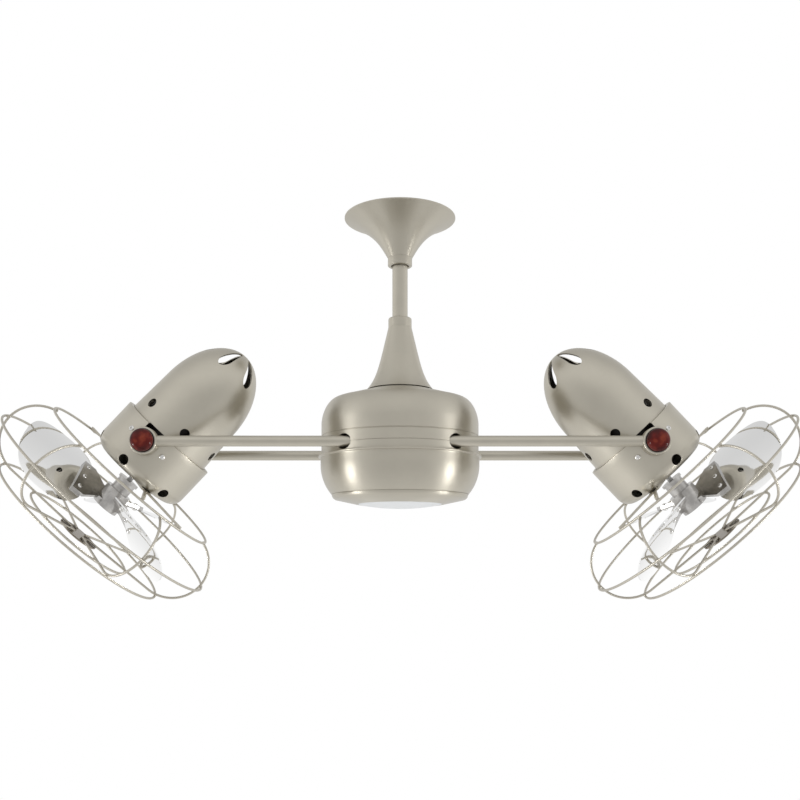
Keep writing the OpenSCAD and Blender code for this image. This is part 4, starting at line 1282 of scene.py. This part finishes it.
@dataclass
class Cage:
    """Wire rings, ribs, the flat bracket and the medallion."""

    side: Side
    rib_r: float = 46.0
    centre_r: float = 107.2
    centre_s: float = 95.0
    wire_r: float = 1.5
    phase: float = 48.0
    medallion_r: float = 27.0
    medallion_rise: float = 4.0
    ring_angles: tuple[float, ...] = (-74.5, 0.0, 74.0)
    inner_r: float = 73.0
    spoke_rise: float = 3.0
    spoke_end: float = 13.0

    @property
    def body(self) -> str:
        """The body that the cage moves with."""
        return self.side.value + "_head"

    def welds(self) -> Piece:
        """A small bead wherever a rib crosses a ring."""
        bm = bmesh.new()
        mid = self.rib_r + self.wire_r
        spots = [
            (self.centre_r + mid * math.cos(a), self.centre_s + mid * math.sin(a))
            for a in map(math.radians, self.ring_angles)
        ]
        rise = self.spoke_rise * (self.centre_r - self.inner_r) / (self.centre_r - self.spoke_end)
        spots.append((self.inner_r, self.centre_s + mid + rise))
        for k in range(6):
            for r, s in spots:
                made = bmesh.ops.create_icosphere(bm, subdivisions=2, radius=1.0)["verts"]
                bmesh.ops.scale(bm, vec=(2.0, 2.4, 2.0), verts=made)
                bmesh.ops.translate(bm, vec=(r, 0, s), verts=made)
                rotated(bm, made, self.phase + 60 * k)
        return settle(bm, self.side.value + "_weld_beads", 60)

    def medallion(self) -> Piece:
        """The bare domed disc at the middle of the cage's front."""
        bm = bmesh.new()
        back = self.centre_s + self.rib_r + self.spoke_rise + self.wire_r + 0.04
        rise, disc_r = self.medallion_rise, self.medallion_r
        curve = (disc_r**2 + rise**2) / (2 * rise)
        top = back + 1.6 + rise
        dome = [(r, top - curve + math.sqrt(curve**2 - r * r)) for r in sweep(disc_r, 28)[:-1]]
        rim = [(disc_r - 0.25, back + 1.68), (disc_r - 0.05, back + 1.5), (disc_r, back + 1.2)]
        edge = [(disc_r, back + 0.4), (disc_r - 0.4, back), (0.0, back)]
        turned(bm, dome + rim + edge, 128, closed=False)
        return settle(bm, self.side.value + "_medallion_disc")

    def build(self, nodes: dict[str, Piece]) -> None:
        """Makes the beads and the medallion and dresses the wires."""
        place, name = LAYOUT.head_matrix(self.side), self.side.value
        hand_in(seat(self.welds(), place), self.body, CAGE_WIRE)
        hand_in(seat(self.medallion(), place), self.body, AGED, [name + "_medallion"])
        rings = ("_cage_rear", "_cage_main_ring", "_cage_front_rings", "_cage_ribs")
        dress(nodes, {name + part: CAGE_WIRE for part in rings})


@dataclass
class Propeller:
    """Mirror blades on a cast hub."""

    side: Side
    tip_r: float = 128.0
    root_r: float = 36.0
    half_chord: float = 56.0
    power: float = 2.6
    thick: float = 1.6
    curve_r: float = 200.0
    pitch: float = 28.0
    phase: float = 332.0
    middle_s: float = 90.0
    screw_gap: float = 19.0
    screw_in: float = 7.0

    @property
    def body(self) -> str:
        """The body that the blades turn with."""
        return self.side.value + "_fan"

    def spot(self, index: int) -> Matrix:
        """Places a piece drawn on a blade, in millimetres."""
        return (
            Matrix.Rotation(math.radians(self.phase + 120 * index), 4, "Z")
            @ Matrix.Translation((0, 0, self.middle_s))
            @ Matrix.Rotation(math.radians(-self.pitch), 4, "X")
        )

    def blade(self, index: int) -> Piece:
        """One blade: a curved sheet with a rounded outline and eased edges."""
        bm = bmesh.new()
        middle = (self.tip_r + self.root_r) / 2 - 2
        span = self.tip_r - middle
        start = math.asin((self.root_r - middle) / span)
        count = 56
        bmesh.ops.create_grid(bm, x_segments=count, y_segments=40, size=1.0)
        for v in bm.verts:
            u = math.sin(start + (QUARTER - start) * (v.co.x + 1) / 2)
            chord = self.half_chord * max(1 - abs(u) ** self.power, 0.0) ** (1 / self.power)
            y = chord * v.co.y
            v.co = Vector((middle + span * u, y, self.curve_r - math.sqrt(self.curve_r**2 - y * y)))
        bmesh.ops.remove_doubles(bm, verts=bm.verts, dist=1e-3)
        bmesh.ops.dissolve_degenerate(bm, edges=bm.edges, dist=1e-4)
        for face in bm.faces:
            face.normal_update()
        if sum(face.normal.z for face in bm.faces) < 0:
            bmesh.ops.reverse_faces(bm, faces=bm.faces)
        flat = list(bm.faces)
        grown = bmesh.ops.extrude_face_region(bm, geom=flat, use_keep_orig=True)
        for v in (g for g in grown["geom"] if isinstance(g, Vertex)):
            away = Vector((0, v.co.y, v.co.z - self.curve_r)).normalized()
            v.co += away * self.thick
        bmesh.ops.transform(bm, matrix=self.spot(index), verts=bm.verts)
        piece = settle(bm, f"{self.side.value}_mirror_blade_{index + 1}", 40)
        ease = piece.modifiers.new("eased_edges", "BEVEL")
        ease.width, ease.segments, ease.limit_method = 0.35 * MM, 2, "ANGLE"
        ease.angle_limit = math.radians(50)
        return piece

    def rivets(self) -> Piece:
        """Three domed screws to a blade, with a nut end behind the bracket."""
        bm = bmesh.new()
        turns = sweep(QUARTER, 8)
        head = [(3.4 * math.sin(t), 2.0 * math.cos(t) + 0.05) for t in turns[1:]]
        tail = [(2.9 * math.cos(t), -6.05 - 1.6 * math.sin(t)) for t in turns[:-1]]
        outline = [(0, 2.05)] + head + [(2, 0.05), (2, -6.05)] + tail + [(0, -7.65)]
        for index in range(3):
            for step in (-1, 0, 1):
                new = turned(bm, outline, 28, closed=False)
                lean = math.asin(step * self.screw_gap / self.curve_r)
                on_sheet = (
                    Matrix.Translation((self.root_r + self.screw_in, 0, self.curve_r))
                    @ Matrix.Rotation(lean, 4, "X")
                    @ Matrix.Translation((0, 0, -self.curve_r))
                )
                bmesh.ops.transform(bm, matrix=self.spot(index) @ on_sheet, verts=new)
        return settle(bm, self.side.value + "_blade_rivets")

    def build(self, nodes: dict[str, Piece]) -> None:
        """Makes the blades and screws and dresses the hub and shaft."""
        place, name = LAYOUT.head_matrix(self.side), self.side.value
        for index in range(3):
            blade = seat(self.blade(index), place)
            hand_in(blade, self.body, CHROME, [f"{name}_blade_{index + 1}"])
        hand_in(seat(self.rivets(), place), self.body, SCREW, [name + "_blade_screws"])
        dress(nodes, {name + "_blade_hub": CAST, name + "_shaft": STEEL})


# The studio


@dataclass
class Studio:
    """Plain soft light, a white room and the front view's camera. Lengths are metres."""

    film_mm: float = 36.0
    focal_px: float = 963.6
    frame_px: float = 800.0
    horizon_px: float = 571.0
    distance: float = 1.2
    height: float = -0.4392
    floor_z: float = -2.44
    floor_half: float = 3.0
    floor_glow: float = 0.3
    box_x: float = 1.88
    box_y: float = -0.40
    box_z: float = -1.07
    box_aim: tuple[float, float, float] = (0.0, -0.07, -0.37)
    box_size: float = 0.5
    box_watts: float = 0.2
    box_spread: float = 12.0
    soft_light: float = 0.75
    grey: float = 0.7
    grey_far: float = 0.32
    grey_above: float = 0.3
    grey_below: float = 0.16
    grey_beside: float = 0.1

    def camera(self) -> None:
        """Looks level at the fan from in front, a little below the lamp."""
        data = bpy.data.cameras.new("photo_camera")
        data.sensor_width = self.film_mm
        data.lens = self.film_mm * self.focal_px / self.frame_px
        data.shift_y = (self.horizon_px - self.frame_px / 2) / self.frame_px
        camera = bpy.data.objects.new("photo_camera", data)
        camera.location = (0, -self.distance, self.height)
        camera.rotation_euler = (QUARTER, 0, 0)
        bpy.context.scene.collection.objects.link(camera)
        bpy.context.scene.camera = camera

    def box(self, side: Side) -> None:
        """Adds the narrow soft box that stands low on one side."""
        name = side.value + "_box"
        data = bpy.data.lights.new(name, "AREA")
        data.shape, data.size, data.size_y = "RECTANGLE", self.box_size, self.box_size
        data.energy = self.box_watts
        data.spread = math.radians(self.box_spread)
        box = bpy.data.objects.new(name, data)
        spot = Vector((side.sign * self.box_x, self.box_y, self.box_z))
        box.location = spot
        box.rotation_euler = (Vector(self.box_aim) - spot).to_track_quat("-Z", "Y").to_euler()
        bpy.context.scene.collection.objects.link(box)

    def room(self) -> None:
        """Surrounds the fan with white for the eye and for glass, and with greys for reflections.

        The greys are palest on the far side and above, a little pale below and beside, and
        plain towards the camera.
        """
        world = bpy.data.worlds.new("white_room")
        world.use_nodes = True
        bpy.context.scene.world = world
        graph = Graph(world.node_tree)
        path = graph.tree.nodes.new("ShaderNodeLightPath")
        eye, gloss, through = (
            Wire(graph, path.outputs[name])
            for name in ("Is Camera Ray", "Is Glossy Ray", "Is Transmission Ray")
        )
        parts = graph.tree.nodes.new("ShaderNodeSeparateXYZ")
        ray = graph.node("ShaderNodeTexCoord", output="Generated")
        graph.tree.links.new(ray.socket, parts.inputs[0])
        across, depth, up = (Wire(graph, parts.outputs[i]) for i in range(3))
        level = 1 - up.ramp(0.3, 0.7)
        far = depth.ramp(-0.7, 0.35) * level * (1 - depth.ramp(0.45, 0.85) * 0.45) * self.grey_far
        above = up.ramp(0.1, 0.6) * (1 - depth.ramp(-0.6, 0.3)) * self.grey_above
        below = (0 - up).ramp(0.35, 0.8) * (1 - depth.ramp(-0.2, 0.4)) * self.grey_below
        beside = abs(across).ramp(0.45, 0.9) * self.grey_beside
        tone = far + above + below + beside + self.grey
        rest = 1 - (eye + gloss + through).ramp(0.0, 1.0)
        strength = gloss * tone + eye + through + rest * self.soft_light
        back = graph.tree.nodes.new("ShaderNodeBackground")
        out = graph.tree.nodes.new("ShaderNodeOutputWorld")
        back.inputs["Color"].default_value = (1.0, 1.0, 1.0, 1.0)
        graph.tree.links.new(strength.socket, back.inputs["Strength"])
        graph.tree.links.new(back.outputs[0], out.inputs[0])

    def floor(self) -> None:
        """A plain pale floor far below the fan, white to the eye as the room is."""
        bm = bmesh.new()
        bmesh.ops.create_grid(bm, x_segments=2, y_segments=2, size=self.floor_half / MM)
        bmesh.ops.translate(bm, vec=(0, 0, self.floor_z / MM), verts=bm.verts)
        floor = settle(bm, "studio_floor")
        material = bpy.data.materials.new("white_floor")
        material.use_nodes = True
        graph = Graph(material.node_tree)
        grain = graph.noise(graph.place(), 3.0)
        colour = graph.mix(grain, (0.9, 0.9, 0.9), (0.94, 0.94, 0.94))
        plain = graph.node("ShaderNodeBsdfDiffuse", {}, {"Color": colour})
        eye = graph.node("ShaderNodeLightPath", output="Is Camera Ray")
        glow = graph.node("ShaderNodeEmission", {}, {"Strength": eye * self.floor_glow})
        both = graph.node("ShaderNodeAddShader", {}, {0: plain, 1: glow})
        out = graph.tree.nodes.new("ShaderNodeOutputMaterial")
        graph.tree.links.new(both.socket, out.inputs[0])
        floor.data.materials.append(material)
        floor.visible_glossy = False

    def build(self) -> None:
        """Sets the camera, the room, the floor and the light."""
        self.camera()
        self.room()
        self.floor()
        for side in Side:
            self.box(side)
        bpy.context.scene.view_settings.view_transform = "Standard"


@dataclass
class CeilingFan:
    """The whole fan, assembly by assembly."""

    stem: Stem = field(default_factory=Stem)
    housing: Housing = field(default_factory=Housing)
    heads: list[MotorHead] = field(default_factory=lambda: [MotorHead(side) for side in Side])
    cages: list[Cage] = field(default_factory=lambda: [Cage(side) for side in Side])
    fans: list[Propeller] = field(default_factory=lambda: [Propeller(side) for side in Side])

    def build(self, nodes: dict[str, Piece]) -> None:
        """Builds every assembly in order."""
        for assembly in (self.stem, self.housing, *self.heads, *self.cages, *self.fans):
            LOG.info("building %s", type(assembly).__name__)
            assembly.build(nodes)


def main() -> None:
    """Builds the scene."""
    logging.basicConfig(level=logging.INFO, format="%(name)s: %(message)s")
    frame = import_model()
    Studio().build()
    CeilingFan().build(frame["nodes"])


if __name__ == "__main__":
    main()
